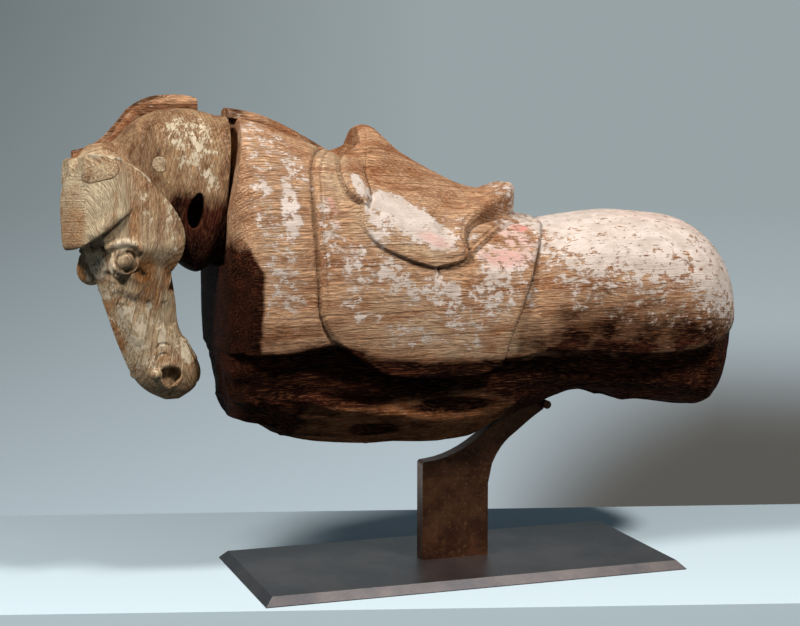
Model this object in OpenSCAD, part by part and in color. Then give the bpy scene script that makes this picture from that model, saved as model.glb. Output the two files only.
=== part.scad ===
// Carved wooden horse, a torso log with a pegged-on head and neck, on a steel display mount.
// +X runs from chest to rump, +Z is up, and the left flank faces -Y.
// The origin is the middle of the base plate's underside.

/* [Torso log] */
// Length from the chest to the end of the rump
torso_l = 646; // [600:2:700]
// Width across the flanks
torso_w = 220; // [200:2:240]
// Height from the lowest point of the belly to the withers
torso_h = 384; // [360:2:410]
// Height of the lowest point of the belly above the floor
belly_z = 152; // [140:1:180]
// Distance of the chest from the middle of the base plate
chest_out = 288; // [276:1:300]
// Length over which the rump rounds off
rump_round = 100; // [80:1:120]
// Length over which the chest rounds off
chest_round = 40; // [30:1:55]
// Depth of the leg seats, hewn back under the flank
seat_cut = 16; // [8:1:24]
// Inward lean of the flank between its widest height and the leg seat
flank_tuck = 8; // [4:1:14]

/* [Saddle and cloth] */
// Thickness of the saddle cloth in relief
cloth_t = 4; // [2:0.5:7]
// Thickness of the saddle flap at its edge
flap_t = 9; // [6:0.5:14]
// Thickness of the pad under the saddle
pad_t = 6; // [4:0.5:8]
// Thickness of the front lobe of the saddle
lobe_t = 13; // [10:0.5:18]

/* [Head and neck] */
// Length of the head from the poll to the lips
head_l = 284; // [270:2:300]
// Half width of the neck at its joint with the torso
neck_half_w = 62; // [54:1:70]
// Height of the neck block at the joint
neck_h = 166; // [156:1:176]
// Turn of the head toward the left flank
head_turn = 14; // [6:1:20]
// Roll of the head, right side down
head_roll = 6; // [0:1:10]
// Half width of the head across the cheeks
cheek_half_w = 53; // [48:1:58]
// Diameter of the eyeball
eye_d = 17; // [14:1:20]
// Lean of the joint face cut on the torso above the seat
seat_lean = 12; // [9:0.5:15]
// Lean of the neck's back face above the seat
neck_lean = 5; // [2:0.5:8]

/* [Pegs and strips] */
// Length of the loose tenon between neck and torso
tenon_l = 110; // [90:2:140]
// Height of the loose tenon
tenon_h = 60; // [50:1:66]
// Thickness of the loose tenon
tenon_t = 26; // [18:1:34]
// Diameter of the round plug in the side of the neck
plug_d = 17; // [12:1:22]
// Length of the round plug
plug_l = 34; // [26:1:40]
// Height of an ear tenon's oval end
ear_d = 19; // [14:1:22]
// Width of an ear tenon's oval end
ear_w = 35; // [28:1:40]
// Length of an ear tenon
ear_l = 30; // [24:1:34]
// Width of the crest strip on the neck
crest_w = 22; // [18:1:28]
// Width of the slot along the crest strip
crest_slot = 5; // [3:0.5:8]
// Width of the strip along the withers
withers_w = 50; // [40:1:60]
// Thickness of the strip along the withers
withers_t = 9; // [6:0.5:12]

/* [Mount] */
// Length of the base plate
plate_l = 512; // [440:2:600]
// Width of the base plate
plate_w = 232; // [200:2:280]
// Thickness of the base plate
plate_t = 10; // [8:0.5:16]
// Bevel round the top of the base plate
plate_bevel = 9; // [4:0.5:9.5]
// Width of the post
post_w = 83; // [70:1:100]
// Thickness of the post
post_t = 20; // [14:1:26]
// Distance of the post's left edge from the plate's middle
post_left = 38; // [30:1:46]
// Reach of the arm behind the post
arm_reach = 71; // [60:1:80]
// Diameter of the cross bar at the tip of the arm
bar_d = 10; // [6:0.5:12]
// Length of the cross bar
bar_l = 44; // [34:2:80]
// Thickness of the pad between arm and belly
liner_t = 2; // [1:0.5:4]
// Diameter of the pins that hold the belly
pin_d = 8; // [5:0.5:10]
// Length of the pins inside the belly
pin_grip = 45; // [30:1:60]
// Depth of the pins inside the arm
pin_seat = 14; // [10:1:18]
// Diameter of the screws through the plate
screw_d = 8; // [6:0.5:10]
// Depth of the screws inside the post
screw_grip = 24; // [16:1:36]

/* [Hidden] */

fit = 0.2;        // clearance round pegs and pins
contact = 0.05;   // clearance between faces that bear on each other
bed = 0.5;        // clearance over the pad, under the belly's short flats
shank_fit = 0.5;  // clearance round the screws in the base plate
sink = 3;         // how far a relief runs into the wood under it
eps = 0.01;

// ---------------------------------------------------------------- curves

// Slope of a curve through the points k at its point i
function slope(k, i) =
    let (a = max(i - 1, 0), b = min(i + 1, len(k) - 1))
    (k[b][1] - k[a][1]) / (k[b][0] - k[a][0]);

// Height at t of the smooth curve through the points k, flat outside them
function curve(k, t, i = 0) =
    t <= k[0][0] ? k[0][1] :
    i > len(k) - 2 ? k[len(k) - 1][1] :
    t > k[i + 1][0] ? curve(k, t, i + 1) :
    let (w = k[i + 1][0] - k[i][0], s = (t - k[i][0]) / w, s2 = s * s, s3 = s2 * s)
    (2 * s3 - 3 * s2 + 1) * k[i][1] + (s3 - 2 * s2 + s) * w * slope(k, i)
    + (3 * s2 - 2 * s3) * k[i + 1][1] + (s3 - s2) * w * slope(k, i + 1);

// A point on the smooth closed curve through the points k, i counting them
function round_point(k, i) =
    let (n = len(k), a = floor(i), t = i - a, p0 = k[(a + n - 1) % n], p1 = k[a % n],
        p2 = k[(a + 1) % n], p3 = k[(a + 2) % n])
    p1 + (p2 - p0) * t / 2 + (p0 * 2 - p1 * 5 + p2 * 4 - p3) * t * t / 2
        + (p1 * 3 - p0 - p2 * 3 + p3) * t * t * t / 2;

function blend(t) = let (s = min(max(t, 0), 1)) s * s * (3 - 2 * s);
function power(base, e) = base <= 0 ? 0 : pow(base, e);
// Falls from 1 to 0 along a quarter of a superellipse as t goes from 0 to 1
function rounding(t, n) = t <= 0 ? 1 : power(1 - power(min(t, 1), n), 1 / n);

// ------------------------------------------------------------ solid grids

// Side faces between rings of m points each, n rings, with both ends closed by a fan
function grid_faces(n, m) = concat(
    [for (i = [0:n - 2], j = [0:m - 1])
        let (k = (j + 1) % m) [i * m + j, i * m + k, (i + 1) * m + k]],
    [for (i = [0:n - 2], j = [0:m - 1])
        let (k = (j + 1) % m) [i * m + j, (i + 1) * m + k, (i + 1) * m + j]],
    [for (j = [1:m - 2]) [0, j + 1, j]],
    [for (j = [1:m - 2]) [(n - 1) * m, (n - 1) * m + j, (n - 1) * m + j + 1]]);

// A solid through the rings, each a closed loop of equally many points
module loft(rings) {
    polyhedron([for (r = rings) for (p = r) p], grid_faces(len(rings), len(rings[0])), 10);
}

// A solid between two surfaces given on the same grid of points
module shell(outer, inner) {
    loft([for (i = [0:len(outer) - 1])
        concat(outer[i], [for (j = [len(inner[i]) - 1:-1:0]) inner[i][j]])]);
}

// -------------------------------------------------------------- torso log

chest_x = -chest_out;
rump_x = torso_l - chest_out;
wide_z = belly_z + 0.46 * torso_h;

// Outlines of the log: share of its length, share of its height
back_line = [[0, 1], [0.07, 0.985], [0.13, 0.95], [0.21, 0.885], [0.29, 0.81], [0.37, 0.755],
    [0.45, 0.715], [0.54, 0.685], [0.61, 0.68], [0.68, 0.693], [0.76, 0.703], [0.85, 0.69],
    [1, 0.67]];
belly_line = [[0, 0.1], [0.07, 0.08], [0.13, 0.04], [0.2, 0.018], [0.3, 0.004], [0.39, 0],
    [0.45, 0.006], [0.5, 0.03], [0.56, 0.075], [0.61, 0.107], [0.67, 0.126], [0.72, 0.12],
    [0.8, 0.09], [0.9, 0.064], [1, 0.064]];
flank_line = [[0, 0.98], [0.12, 1], [0.3, 0.98], [0.5, 0.93], [0.64, 0.93], [0.8, 1], [1, 0.98]];
seat_line = [[0, 0.32], [0.1, 0.32], [0.19, 0.335], [0.28, 0.285], [0.5, 0.27], [0.7, 0.285],
    [0.8, 0.28], [0.87, 0.33], [1, 0.31]];
rump_z = belly_z + 0.36 * torso_h;
brisket_z = belly_z + 0.46 * torso_h;

function share(x) = (x - chest_x) / torso_l;
function rump_t(x) = (x - (rump_x - rump_round)) / rump_round;
function chest_t(x) = ((chest_x + chest_round) - x) / chest_round;

function back_z(x) =
    let (z = belly_z + curve(back_line, share(x)) * torso_h)
    rump_z + (z - rump_z) * rounding(rump_t(x), 2.1);
function under_z(x) =
    let (z = belly_z + curve(belly_line, share(x)) * torso_h,
        c = brisket_z + (z - brisket_z) * rounding(chest_t(x), 3.2))
    rump_z + (c - rump_z) * rounding(rump_t(x), 4.5);
function half_w(x) =
    torso_w / 2 * curve(flank_line, share(x)) * rounding(rump_t(x), 2.2) * rounding(chest_t(x), 3);
function mid_z(x) =
    let (r = rounding(rump_t(x), 2.2))
    rump_z + (min(wide_z, (back_z(x) + under_z(x)) / 2 + 20) - rump_z) * r;
function seat_z(x) =
    let (z = belly_z + curve(seat_line, share(x)) * torso_h)
    max(under_z(x) + 2 * eps, rump_z + (z - rump_z) * rounding(rump_t(x), 2.4));
// The leg seats end short of the rump's end
function seat_depth(x) = seat_cut * (1 - blend((share(x) - 0.9) / 0.03)) * min(1, half_w(x) / 60);

// A point of the skin at x. q runs from 0 on the back to 1 at the flank's lower edge, and
// goes on below it; out stands the point off the wood
q_wide = 0.7;
function skin(x, q, out = 0) =
    let (w = half_w(x), m = mid_z(x), a = 90 * min(abs(q) / q_wide, 1),
        p = max(0, (abs(q) - q_wide) / (1 - q_wide)),
        y = w * power(sin(a), 0.86) - flank_tuck * min(1, w / 60) * p * p,
        z = p > 0 ? m - (m - seat_z(x)) * p : m + (back_z(x) - m) * power(cos(a), 0.86),
        side = q < 0 ? 1 : -1)
    [x, side * (y + out * sin(a)), z + out * cos(a)];

// A point of the hewn underside: b runs from 0 at the leg seat to 1 at the belly's middle
function under(x, b) =
    let (w = half_w(x) - flank_tuck * min(1, half_w(x) / 60) - seat_depth(x), a = 90 * b,
        z0 = seat_z(x), z1 = under_z(x))
    [x, -max(w, eps) * power(cos(a), 0.8), z0 - (z0 - z1) * power(sin(a), 0.9)];

skin_q = [0, 0.07, 0.15, 0.23, 0.31, 0.39, 0.47, 0.55, 0.63, 0.7, 0.77, 0.85, 0.93, 1];
under_b = [0, 0.13, 0.27, 0.42, 0.57, 0.72, 0.87, 1];

function mirrored(p) = [p[0], -p[1], p[2]];
function torso_ring(x) =
    let (left = concat([for (q = skin_q) skin(x, q)], [for (b = under_b) under(x, b)]))
    concat([for (p = left) mirrored(p)], [for (i = [len(left) - 2:-1:1]) left[i]]);

// Stations along the log, closer together where its ends round off
chest_rings = 7;
body_rings = 24;
rump_rings = 10;
ring_x = concat(
    [for (i = [0:chest_rings - 1]) chest_x + eps + chest_round * (1 - cos(90 * i / chest_rings))],
    [for (i = [0:body_rings - 1])
        chest_x + chest_round + (torso_l - chest_round - rump_round) * i / body_rings],
    [for (i = [0:rump_rings]) rump_x - rump_round * (1 - sin(90 * i / rump_rings)) - eps]);

// ------------------------------------------------- saddle cloth and saddle

// A sheet in relief over the back, down to the girth q_end on both sides. front and rear give
// its edges for a girth q, proud its height off the wood for a share t of its length and q
module relief(q_end, rows, cols, front, rear, proud) {
    q_rows = [for (i = [-rows:rows]) q_end * sin(90 * i / rows)];
    t_cols = [for (j = [0:cols]) (1 - cos(180 * j / cols)) / 2];
    function across(q, t) = front(q) + (rear(q) - front(q)) * t;
    shell([for (q = q_rows) [for (t = t_cols) skin(across(q, t), q, proud(t, q))]],
        [for (q = q_rows) [for (t = t_cols) skin(across(q, t), q, -sink)]]);
}

// Share of the full height near an edge, for a rim that rounds off over the width w
function rim(t, w) = 0.3 + 0.7 * rounding(1 - min(t, 1 - t) / w, 2);

function along(s) = s * torso_l;
function at(s) = chest_x + along(s);

// Edges of the cloth: share of the log's length against the girth, with round lower corners
cloth_q = 1.08;
cloth_front_line = [[0, 0.21], [0.15, 0.18], [0.3, 0.157], [0.45, 0.149], [0.7, 0.15]];
cloth_rear_line = [[0, 0.605], [0.15, 0.595], [0.3, 0.572], [0.45, 0.56], [0.65, 0.555]];
cloth_front = function(q) at(curve(cloth_front_line, abs(q)))
    + along(0.28) * (1 - rounding((abs(q) - 0.68) / (cloth_q - 0.68), 2));
cloth_rear = function(q) at(curve(cloth_rear_line, abs(q)))
    - along(0.07) * (1 - rounding((abs(q) - 0.64) / (cloth_q - 0.64), 2));
cloth_proud = function(t, q) cloth_t * rim(t, 0.03);

module saddle_cloth() {
    relief(cloth_q, 14, 12, cloth_front, cloth_rear, cloth_proud);
}

// Height of the saddle above the back along its ridge, from pommel to cantle
ridge_line = [[0, 0.125], [0.05, 0.148], [0.11, 0.154], [0.16, 0.143], [0.28, 0.117], [0.47, 0.096],
    [0.66, 0.078], [0.79, 0.081], [0.91, 0.104], [0.97, 0.108], [1, 0.1]];
flap_q = 0.57;
flap_front_line = [[0, 0.262], [0.12, 0.255], [0.25, 0.24], [0.42, 0.236]];
flap_rear_line = [[0, 0.568], [0.1, 0.55], [0.26, 0.469], [0.4, 0.441], [0.51, 0.425], [0.57, 0.375]];
flap_front = function(q) at(curve(flap_front_line, abs(q)))
    + along(0.13) * (1 - rounding((abs(q) - 0.42) / (flap_q - 0.42), 2));
flap_rear = function(q) at(curve(flap_rear_line, abs(q)));
flap_proud = function(t, q)
    let (ridge = curve(ridge_line, t) * torso_h, fall = blend(abs(q) / (0.2 + 0.12 * t)))
    ridge * (1 - fall) + flap_t * fall * rim(t, 0.05) * (abs(q) > flap_q - eps ? 0.4 : 1);

module saddle_seat() {
    relief(flap_q, 12, 16, flap_front, flap_rear, flap_proud);
}

// Small lobe that hangs in front of the flap
lobe_q = 0.47;
lobe_front_line = [[0, 0.262], [0.12, 0.235], [0.25, 0.2], [0.36, 0.2], [0.43, 0.217], [0.47, 0.24]];
lobe_front = function(q) at(curve(lobe_front_line, abs(q)));
lobe_rear = function(q) at(0.275);
lobe_proud = function(t, q) lobe_t * rim(t, 0.4) * (abs(q) > lobe_q - eps ? 0.4 : 1);

module saddle_lobe() {
    relief(lobe_q, 8, 6, lobe_front, lobe_rear, lobe_proud);
}

// Pad that shows behind the flap, under the cantle
pad_q = 0.55;
pad_front = function(q) at(0.4) - along(0.04) * blend((abs(q) - 0.3) / 0.25);
pad_rear = function(q) flap_rear(q) + along(0.04) * (1 - blend((abs(q) - 0.4) / 0.15));
pad_proud = function(t, q) pad_t * rim(t, 0.1);

module saddle_pad() {
    relief(pad_q, 9, 6, pad_front, pad_rear, pad_proud);
}

// ------------------------------------------------- joint of neck and torso

// The neck bears on a seat cut in the chest, and a gap opens above joint_z
joint_x = chest_x + 6;
joint_z = belly_z + 0.72 * torso_h;
joint_foot = joint_z - 58;
chest_top = belly_z + torso_h;
joint_top = chest_top + 80;
tenon_z = joint_z + 52;

// All that is in front (way -1) or behind (way 1) of a plane that is upright up to joint_z
// and leans back above it, from the height z0 up
module joint_side(lean, way, z0) {
    x = joint_x - way * contact / 2;
    rotate([90, 0, 0]) linear_extrude(2 * torso_w, center = true)
        polygon([[x, z0], [x, joint_z], [x + (joint_top - joint_z) * tan(lean), joint_top],
            [x + way * torso_l, joint_top], [x + way * torso_l, z0]]);
}

module tenon_block(gap) {
    translate([joint_x, 0, tenon_z])
        cube([tenon_l + 2 * gap, tenon_t + 2 * gap, tenon_h + 2 * gap], center = true);
}

module torso_log() color("#a8704a") {
    difference() {
        union() {
            loft([for (x = ring_x) torso_ring(x)]);
            saddle_cloth();
            saddle_pad();
            saddle_seat();
            saddle_lobe();
        }
        joint_side(seat_lean, -1, joint_foot);
        tenon_block(fit);
        withers_solid(contact);
        pins(fit);
    }
}

module withers_strip() color("#8a5c3e") withers_solid(0);

// Strip along the withers, let into the log's back and standing over the joint's gap
withers_x0 = joint_x + (chest_top + withers_t - joint_z) * tan(neck_lean) + 2;
withers_x1 = at(0.205);
module withers_solid(gap) {
    steps = 10;
    loft([for (i = [0:steps])
        let (t = i / steps, x = withers_x0 - gap + (withers_x1 - withers_x0 + 2 * gap) * t,
            w = withers_w / 2 * (0.62 + 0.38 * sin(180 * min(1, t + 0.15))) + gap,
            z = back_z(x) - sink - gap, h = sink + 2 * gap + withers_t * (1 - 0.55 * t * t))
        concat([for (a = [0:15:180]) [x, -w * cos(a), z + 1 + (h - 1) * power(sin(a), 0.7)]],
            [[x, w, z], [x, -w, z]])]);
}

// -------------------------------------------------------- head and neck

// Outlines of the neck against the distance in front of the joint
neck_top_line = [[0, 0.985], [30, 1.03], [62, 1.025], [80, 0.99], [96, 0.93], [115, 0.82],
    [135, 0.74], [165, 0.7]];
neck_foot_line = [[0, 0.01], [8, 0.01], [16, -0.03], [28, -0.055], [47, 0.03], [68, 0.16],
    [105, 0.35], [140, 0.5], [165, 0.56]];
neck_width_line = [[0, 1], [35, 0.96], [70, 0.82], [110, 0.72], [165, 0.45]];
neck_stations = [-40, 0, 8, 16, 24, 34, 44, 56, 68, 80, 92, 104, 116, 128, 140, 152, 165];

function neck_top(d) = joint_foot + curve(neck_top_line, d) * neck_h;
function neck_foot(d) = joint_foot + curve(neck_foot_line, d) * neck_h;
function neck_half(d) = neck_half_w * curve(neck_width_line, d);

function neck_ring(d) =
    let (h = (neck_top(d) - neck_foot(d)) / 2, n = 0.62)
    [for (i = [0:27]) let (a = -360 * i / 28)
        [joint_x - d, sign(sin(a)) * neck_half(d) * power(abs(sin(a)), n),
            neck_foot(d) + h + sign(cos(a)) * h * power(abs(cos(a)), n)]];

module neck() {
    difference() {
        loft([for (d = neck_stations) neck_ring(d)]);
        joint_side(neck_lean, 1, joint_foot - neck_h);
    }
}

// The head hangs from a pivot in the neck. In its own frame -X is forward and -Y its left
poll_out = 91;  // from the joint forward to the pivot
poll_up = 33;   // from the pivot up to the top of the poll
pivot_x = joint_x - poll_out;
pivot_z = joint_foot + 0.6 * neck_h;
head_top = pivot_z + poll_up;
module in_head() {
    translate([pivot_x, 0, pivot_z]) rotate([0, 0, head_turn]) rotate([-head_roll, 0, 0])
        translate([0, 0, -pivot_z]) children();
}

// Outlines of the head: share of its length from the poll down, distance forward of the pivot
brow_line = [[0, 50], [0.06, 66], [0.15, 73], [0.26, 71], [0.36, 65], [0.44, 56], [0.52, 48],
    [0.61, 41], [0.715, 33], [0.8, 25], [0.87, 17], [0.925, 8], [0.968, -5], [1, -22]];
jaw_line = [[0, 0], [0.06, -18], [0.15, -26], [0.3, -30], [0.44, -29], [0.52, -31], [0.61, -35],
    [0.715, -38], [0.8, -50], [0.87, -61], [0.925, -61], [0.968, -52], [1, -38]];
width_line = [[0, 0.5], [0.06, 0.74], [0.15, 0.86], [0.26, 0.92], [0.36, 0.93], [0.44, 0.88],
    [0.52, 0.78], [0.61, 0.66], [0.715, 0.58], [0.8, 0.56], [0.87, 0.57], [0.925, 0.52],
    [0.968, 0.38], [1, 0.12]];
head_shares = [0, 0.03, 0.07, 0.12, 0.18, 0.24, 0.3, 0.36, 0.41, 0.46, 0.51, 0.56, 0.61, 0.66,
    0.71, 0.76, 0.8, 0.84, 0.88, 0.92, 0.95, 0.975, 1];

function head_z(h) = head_top - h * head_l;
// Wedge-shaped in front and full at the jaw
function head_ring(h) =
    let (front = curve(brow_line, h), back = curve(jaw_line, h), mid = (front + back) / 2 - 2,
        w = cheek_half_w * curve(width_line, h))
    [for (i = [0:29]) let (a = -360 * i / 30, c = cos(a), n = c > 0 ? 0.95 : 0.75)
        [-(mid + (c > 0 ? front - mid : mid - back) * sign(c) * power(abs(c), n)),
            sign(sin(a)) * w * power(abs(sin(a)), c > 0 ? 0.9 : 0.7), head_z(h)]];

// Both sides of the head alike
module both_sides() {
    children();
    mirror([0, 1, 0]) children();
}

// Round cheek that stands off the neck with a rim: height above the pivot against the
// distance forward, seen from the side
cheek_outline = [[66, 19], [43, 14], [15, 0], [-7, -22], [-23, -49], [-32, -78], [-29, -100],
    [-14, -117], [8, -122], [30, -112], [50, -84], [64, -40], [71, -8]];
cheek_mid = [22, -52];
// Depths of the cheek's dome as a share of its half width, and its outline's size there
cheek_dome = [[0.5, 1], [0.86, 1], [0.94, 0.93], [0.99, 0.8], [1.02, 0.6]];
module cheek() {
    hull() {
        for (k = cheek_dome)
            translate([0, -cheek_half_w * k[0], pivot_z]) rotate([90, 0, 0])
                linear_extrude(eps) polygon([for (i = [0:0.5:len(cheek_outline) - 0.5])
                    let (p = round_point(cheek_outline, i), q = cheek_mid + (p - cheek_mid) * k[1])
                    [-q[0], q[1]]]);
    }
}

// Forelock that hangs over the forehead as a thick flap
forelock_rings = [[-81, 79, 82], [-77, 73, 84], [-68, 62, 84], [-56, 46, 84], [-44, 30, 84],
    [-26, 28, 84], [-10, 28, 82], [4, 30, 77], [14, 34, 68], [20, 38, 58]];
module forelock() {
    function half(u) = cheek_half_w * (0.98 - (u - 28) * 0.0075);
    loft([for (r = forelock_rings)
        let (z = pivot_z + r[0], a = r[1], b = r[2], m = b - min(8, (b - a) / 2))
        [[-a, -half(a), z], [-(a + m) / 2, -half((a + m) / 2), z], [-m, -half(m), z],
            [-b, -half(b) * 0.7, z], [-b, half(b) * 0.7, z], [-m, half(m), z],
            [-(a + m) / 2, half((a + m) / 2), z], [-a, half(a), z]]]);
}

// Lump of the brow with the eye in its ring
eye_u = 45;
eye_z = head_z(0.47);
module brow() {
    hull() {
        translate([-eye_u - 4, -cheek_half_w * 0.72, eye_z + 6]) sphere(14, $fn = 16);
        translate([-eye_u + 8, -cheek_half_w * 0.78, eye_z]) sphere(12, $fn = 16);
        translate([-eye_u - 8, -cheek_half_w * 0.68, eye_z - 2]) sphere(11, $fn = 16);
    }
}
module eye_ring() {
    translate([-eye_u, -cheek_half_w, eye_z]) rotate([90, 0, -20]) {
        rotate_extrude($fn = 20) translate([eye_d / 2 + 3.5, 0]) circle(3, $fn = 6);
        sphere(eye_d / 2, $fn = 16);
    }
}

// Nostril with its raised ring
module nostril() {
    translate([14, -cheek_half_w * 0.5, pivot_z - 208]) rotate([78, 0, -12])
        rotate_extrude($fn = 20) translate([8, 0]) circle(3, $fn = 6);
}
module nostril_hollow() {
    hull() {
        translate([15, -cheek_half_w * 0.56, pivot_z - 216]) sphere(5, $fn = 12);
        translate([24, -cheek_half_w * 0.52, pivot_z - 232]) sphere(7, $fn = 12);
    }
}
// Slit of the mouth from its corner to the lips
module mouth() {
    hull() {
        translate([40, 0, pivot_z - 188]) rotate([90, 0, 0]) cylinder(h = 80, r = 0.8, center = true, $fn = 8);
        translate([51, 0, pivot_z - 216]) rotate([90, 0, 0]) cylinder(h = 80, r = 1.8, center = true, $fn = 8);
        translate([56, 0, pivot_z - 240]) rotate([90, 0, 0]) cylinder(h = 80, r = 3.2, center = true, $fn = 8);
    }
}

// An oval ear tenon, let into the head beside the poll
ear_u = 56;
ear_z = pivot_z + 4;
module ear_solid(gap) {
    translate([-ear_u, -cheek_half_w * 1.02, ear_z]) rotate([70, 0, 0]) hull()
        for (i = [-1, 1]) translate([i * (ear_w - ear_d) / 2, 0, -ear_l - gap])
            cylinder(h = ear_l + 2 * gap, r1 = ear_d * 0.4 + gap, r2 = ear_d / 2 + gap, $fn = 24);
}

// Round plug in the left side of the neck
plug_at = 71;
module plug_solid(gap, out) {
    translate([joint_x - plug_at, -neck_half(plug_at) - out, joint_foot + 0.67 * neck_h])
        rotate([-90, 0, 0]) cylinder(h = out + plug_l + gap, d = plug_d + 2 * gap, $fn = 32);
}

// Deep oval hollow in the left side of the neck
module neck_hollow() {
    hull() for (z = [0.33, 0.47])
        translate([joint_x - 31, -neck_half(31) - 6, joint_foot + z * neck_h])
            rotate([-90, 0, 0]) cylinder(h = 34, r = 8, $fn = 20);
}

module head_neck() color("#b98a63") {
    difference() {
        union() {
            neck();
            in_head() {
                loft([for (h = head_shares) head_ring(h)]);
                forelock();
                both_sides() {
                    cheek();
                    brow();
                    eye_ring();
                    nostril();
                }
            }
        }
        tenon_block(fit);
        crest_solid(contact);
        plug_solid(fit, 10);
        neck_hollow();
        in_head() {
            mouth();
            both_sides() {
                nostril_hollow();
                ear_solid(fit);
            }
        }
    }
}

module neck_tenon() color("#7a4a30") tenon_block(0);
module neck_plug() color("#8d6a5a") plug_solid(0, 1);
module ear_tenon_left() color("#b9a27e") in_head() ear_solid(0);
module ear_tenon_right() color("#b9a27e") in_head() mirror([0, 1, 0]) ear_solid(0);

// Crest strip on the neck, two ridges with a slot for the mane between them
crest_d0 = 20;
crest_d1 = 158;
crest_line = [[0, 14], [0.3, 16], [0.55, 17], [0.8, 10], [1, 8]];
module crest_solid(gap) {
    steps = 16;
    loft([for (i = [0:steps])
        let (t = i / steps, d = crest_d0 - gap + (crest_d1 - crest_d0 + 2 * gap) * t,
            w = crest_w / 2 + gap, foot = neck_top(d) - 2 * sink - gap,
            top = neck_top(d) + curve(crest_line, t) + gap)
        [[joint_x - d, -w, foot], [joint_x - d, w, foot], [joint_x - d, w, top - 6],
            [joint_x - d, w - 2, top - 2], [joint_x - d, w - 6, top],
            [joint_x - d, 6 - w, top], [joint_x - d, 2 - w, top - 2], [joint_x - d, -w, top - 6]]]);
}
module crest_slot_solid() {
    steps = 12;
    loft([for (i = [0:steps])
        let (t = i / steps, d = crest_d0 + (crest_d1 + 10 - crest_d0) * (0.25 + 0.75 * t),
            w = crest_slot / 2, z = neck_top(d) + 2 - sink)
        [[joint_x - d, -w, z], [joint_x - d, w, z],
            [joint_x - d, w, z + 40], [joint_x - d, -w, z + 40]]]);
}
module mane_crest() color("#8c6448") {
    difference() {
        crest_solid(0);
        crest_slot_solid();
    }
}

// ---------------------------------------------------------------- mount

post_right = post_w - post_left;
rest_x = post_right + 5;
bar_x = post_right + arm_reach;
corner_z = belly_z - 24;
corner_r = 4;
// Depth of the arm against the share of its reach
arm_depth_line = [[0, 66], [0.04, 52], [0.13, 40], [0.3, 29], [0.56, 22], [0.85, 14], [1, bar_d]];

function rest_z(x) = under_z(x) - bed;
function arm_top(x) =
    let (z = rest_z(max(x, rest_x)) - liner_t - contact)
    x >= rest_x ? z : corner_z + (z - corner_z) * pow((x + post_left) / (rest_x + post_left), 2);
function arm_foot(x) = arm_top(x) - curve(arm_depth_line, (x - post_right) / arm_reach);

bar_slope = (rest_z(bar_x + bar_d / 2) - rest_z(bar_x - bar_d / 2)) / bar_d;
bar_z = rest_z(bar_x) - bar_d / 2 * sqrt(1 + bar_slope * bar_slope);

// Stations along the arm, and those of them that the pad covers
arm_steps = 12;
arm_x = concat([post_right],
    [for (i = [0:arm_steps]) rest_x + (bar_x - rest_x) * i / arm_steps]);
pad_x = [for (x = arm_x) if (x >= rest_x && x <= bar_x - bar_d) x];

module arm_outline() {
    polygon(concat(
        [[-post_left, plate_t + contact], [post_right, plate_t + contact]],
        [for (x = arm_x) [x, arm_foot(x)]],
        [for (i = [len(arm_x) - 1:-1:0]) [arm_x[i], arm_top(arm_x[i])]],
        [for (i = [7:-1:1]) let (x = -post_left + post_w * i / 8) [x, arm_top(x)]],
        [for (a = [90:22.5:180])
            [-post_left + corner_r * (1 + cos(a)), corner_z - corner_r * (1 - sin(a))]]));
}

module across(x, z, d, l) {
    translate([x, 0, z]) rotate([90, 0, 0]) cylinder(h = l, d = d, center = true, $fn = 48);
}

module post_arm() color("#4a3c2c") {
    difference() {
        rotate([90, 0, 0]) linear_extrude(post_t, center = true) arm_outline();
        across(bar_x, bar_z, bar_d + 2 * contact, post_t + 1);
        pins(contact);
        screws(contact);
    }
}

module cradle_crossbar() color("#4a3c2c") across(bar_x, bar_z, bar_d, bar_l);

module cradle_pad() color("#2b2a28") {
    difference() {
        rotate([90, 0, 0]) linear_extrude(post_t, center = true)
            polygon(concat([for (x = pad_x) [x, arm_top(x) + contact]],
                [for (i = [len(pad_x) - 1:-1:0]) [pad_x[i], rest_z(pad_x[i])]]));
        pins(contact);
    }
}

pin_x = [rest_x + 9, rest_x + 41];
module pins(gap) {
    for (x = pin_x) translate([x, 0, arm_top(x) - pin_seat - gap])
        cylinder(h = pin_seat + pin_grip + 2 * gap, d = pin_d + 2 * gap, $fn = 48);
}
module support_pins() color("#8f8f8a") pins(0);

screw_x = [-post_left + 20, post_right - 20];
head_d = 2 * screw_d;
head_h = screw_d / 2;
head_recess = 0.5;  // of the screw heads above the plate's underside
drive_depth = 3;
module screws(gap) {
    for (x = screw_x) translate([x, 0, head_recess]) {
        cylinder(h = plate_t + screw_grip + gap, d = screw_d + 2 * gap, $fn = 48);
        cylinder(h = head_h, d1 = head_d + 2 * contact, d2 = screw_d + 2 * contact, $fn = 48);
    }
}
module base_screws() color("#8f8f8a") {
    difference() {
        for (x = screw_x) translate([x, 0, head_recess]) {
            cylinder(h = plate_t + screw_grip, d = screw_d, $fn = 48);
            cylinder(h = head_h, d1 = head_d, d2 = screw_d, $fn = 48);
        }
        for (x = screw_x) translate([x, 0, 0])
            cylinder(h = head_recess + drive_depth, d = screw_d * 0.6, $fn = 6);
    }
}

module base_plate() color("#4b4540") {
    difference() {
        translate([-plate_l / 2, -plate_w / 2, 0]) cube([plate_l, plate_w, plate_t]);
        for (side = [-1, 1]) {
            translate([0, side * plate_w / 2, plate_t]) rotate([45, 0, 0])
                cube([plate_l + 2, plate_bevel * sqrt(2), plate_bevel * sqrt(2)], center = true);
            translate([side * plate_l / 2, 0, plate_t]) rotate([0, 45, 0])
                cube([plate_bevel * sqrt(2), plate_w + 2, plate_bevel * sqrt(2)], center = true);
        }
        screws(shank_fit);
        for (x = screw_x) translate([x, 0, -eps])
            cylinder(h = head_recess + 2 * eps, d = head_d + 2 * contact, $fn = 48);
    }
}

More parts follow.
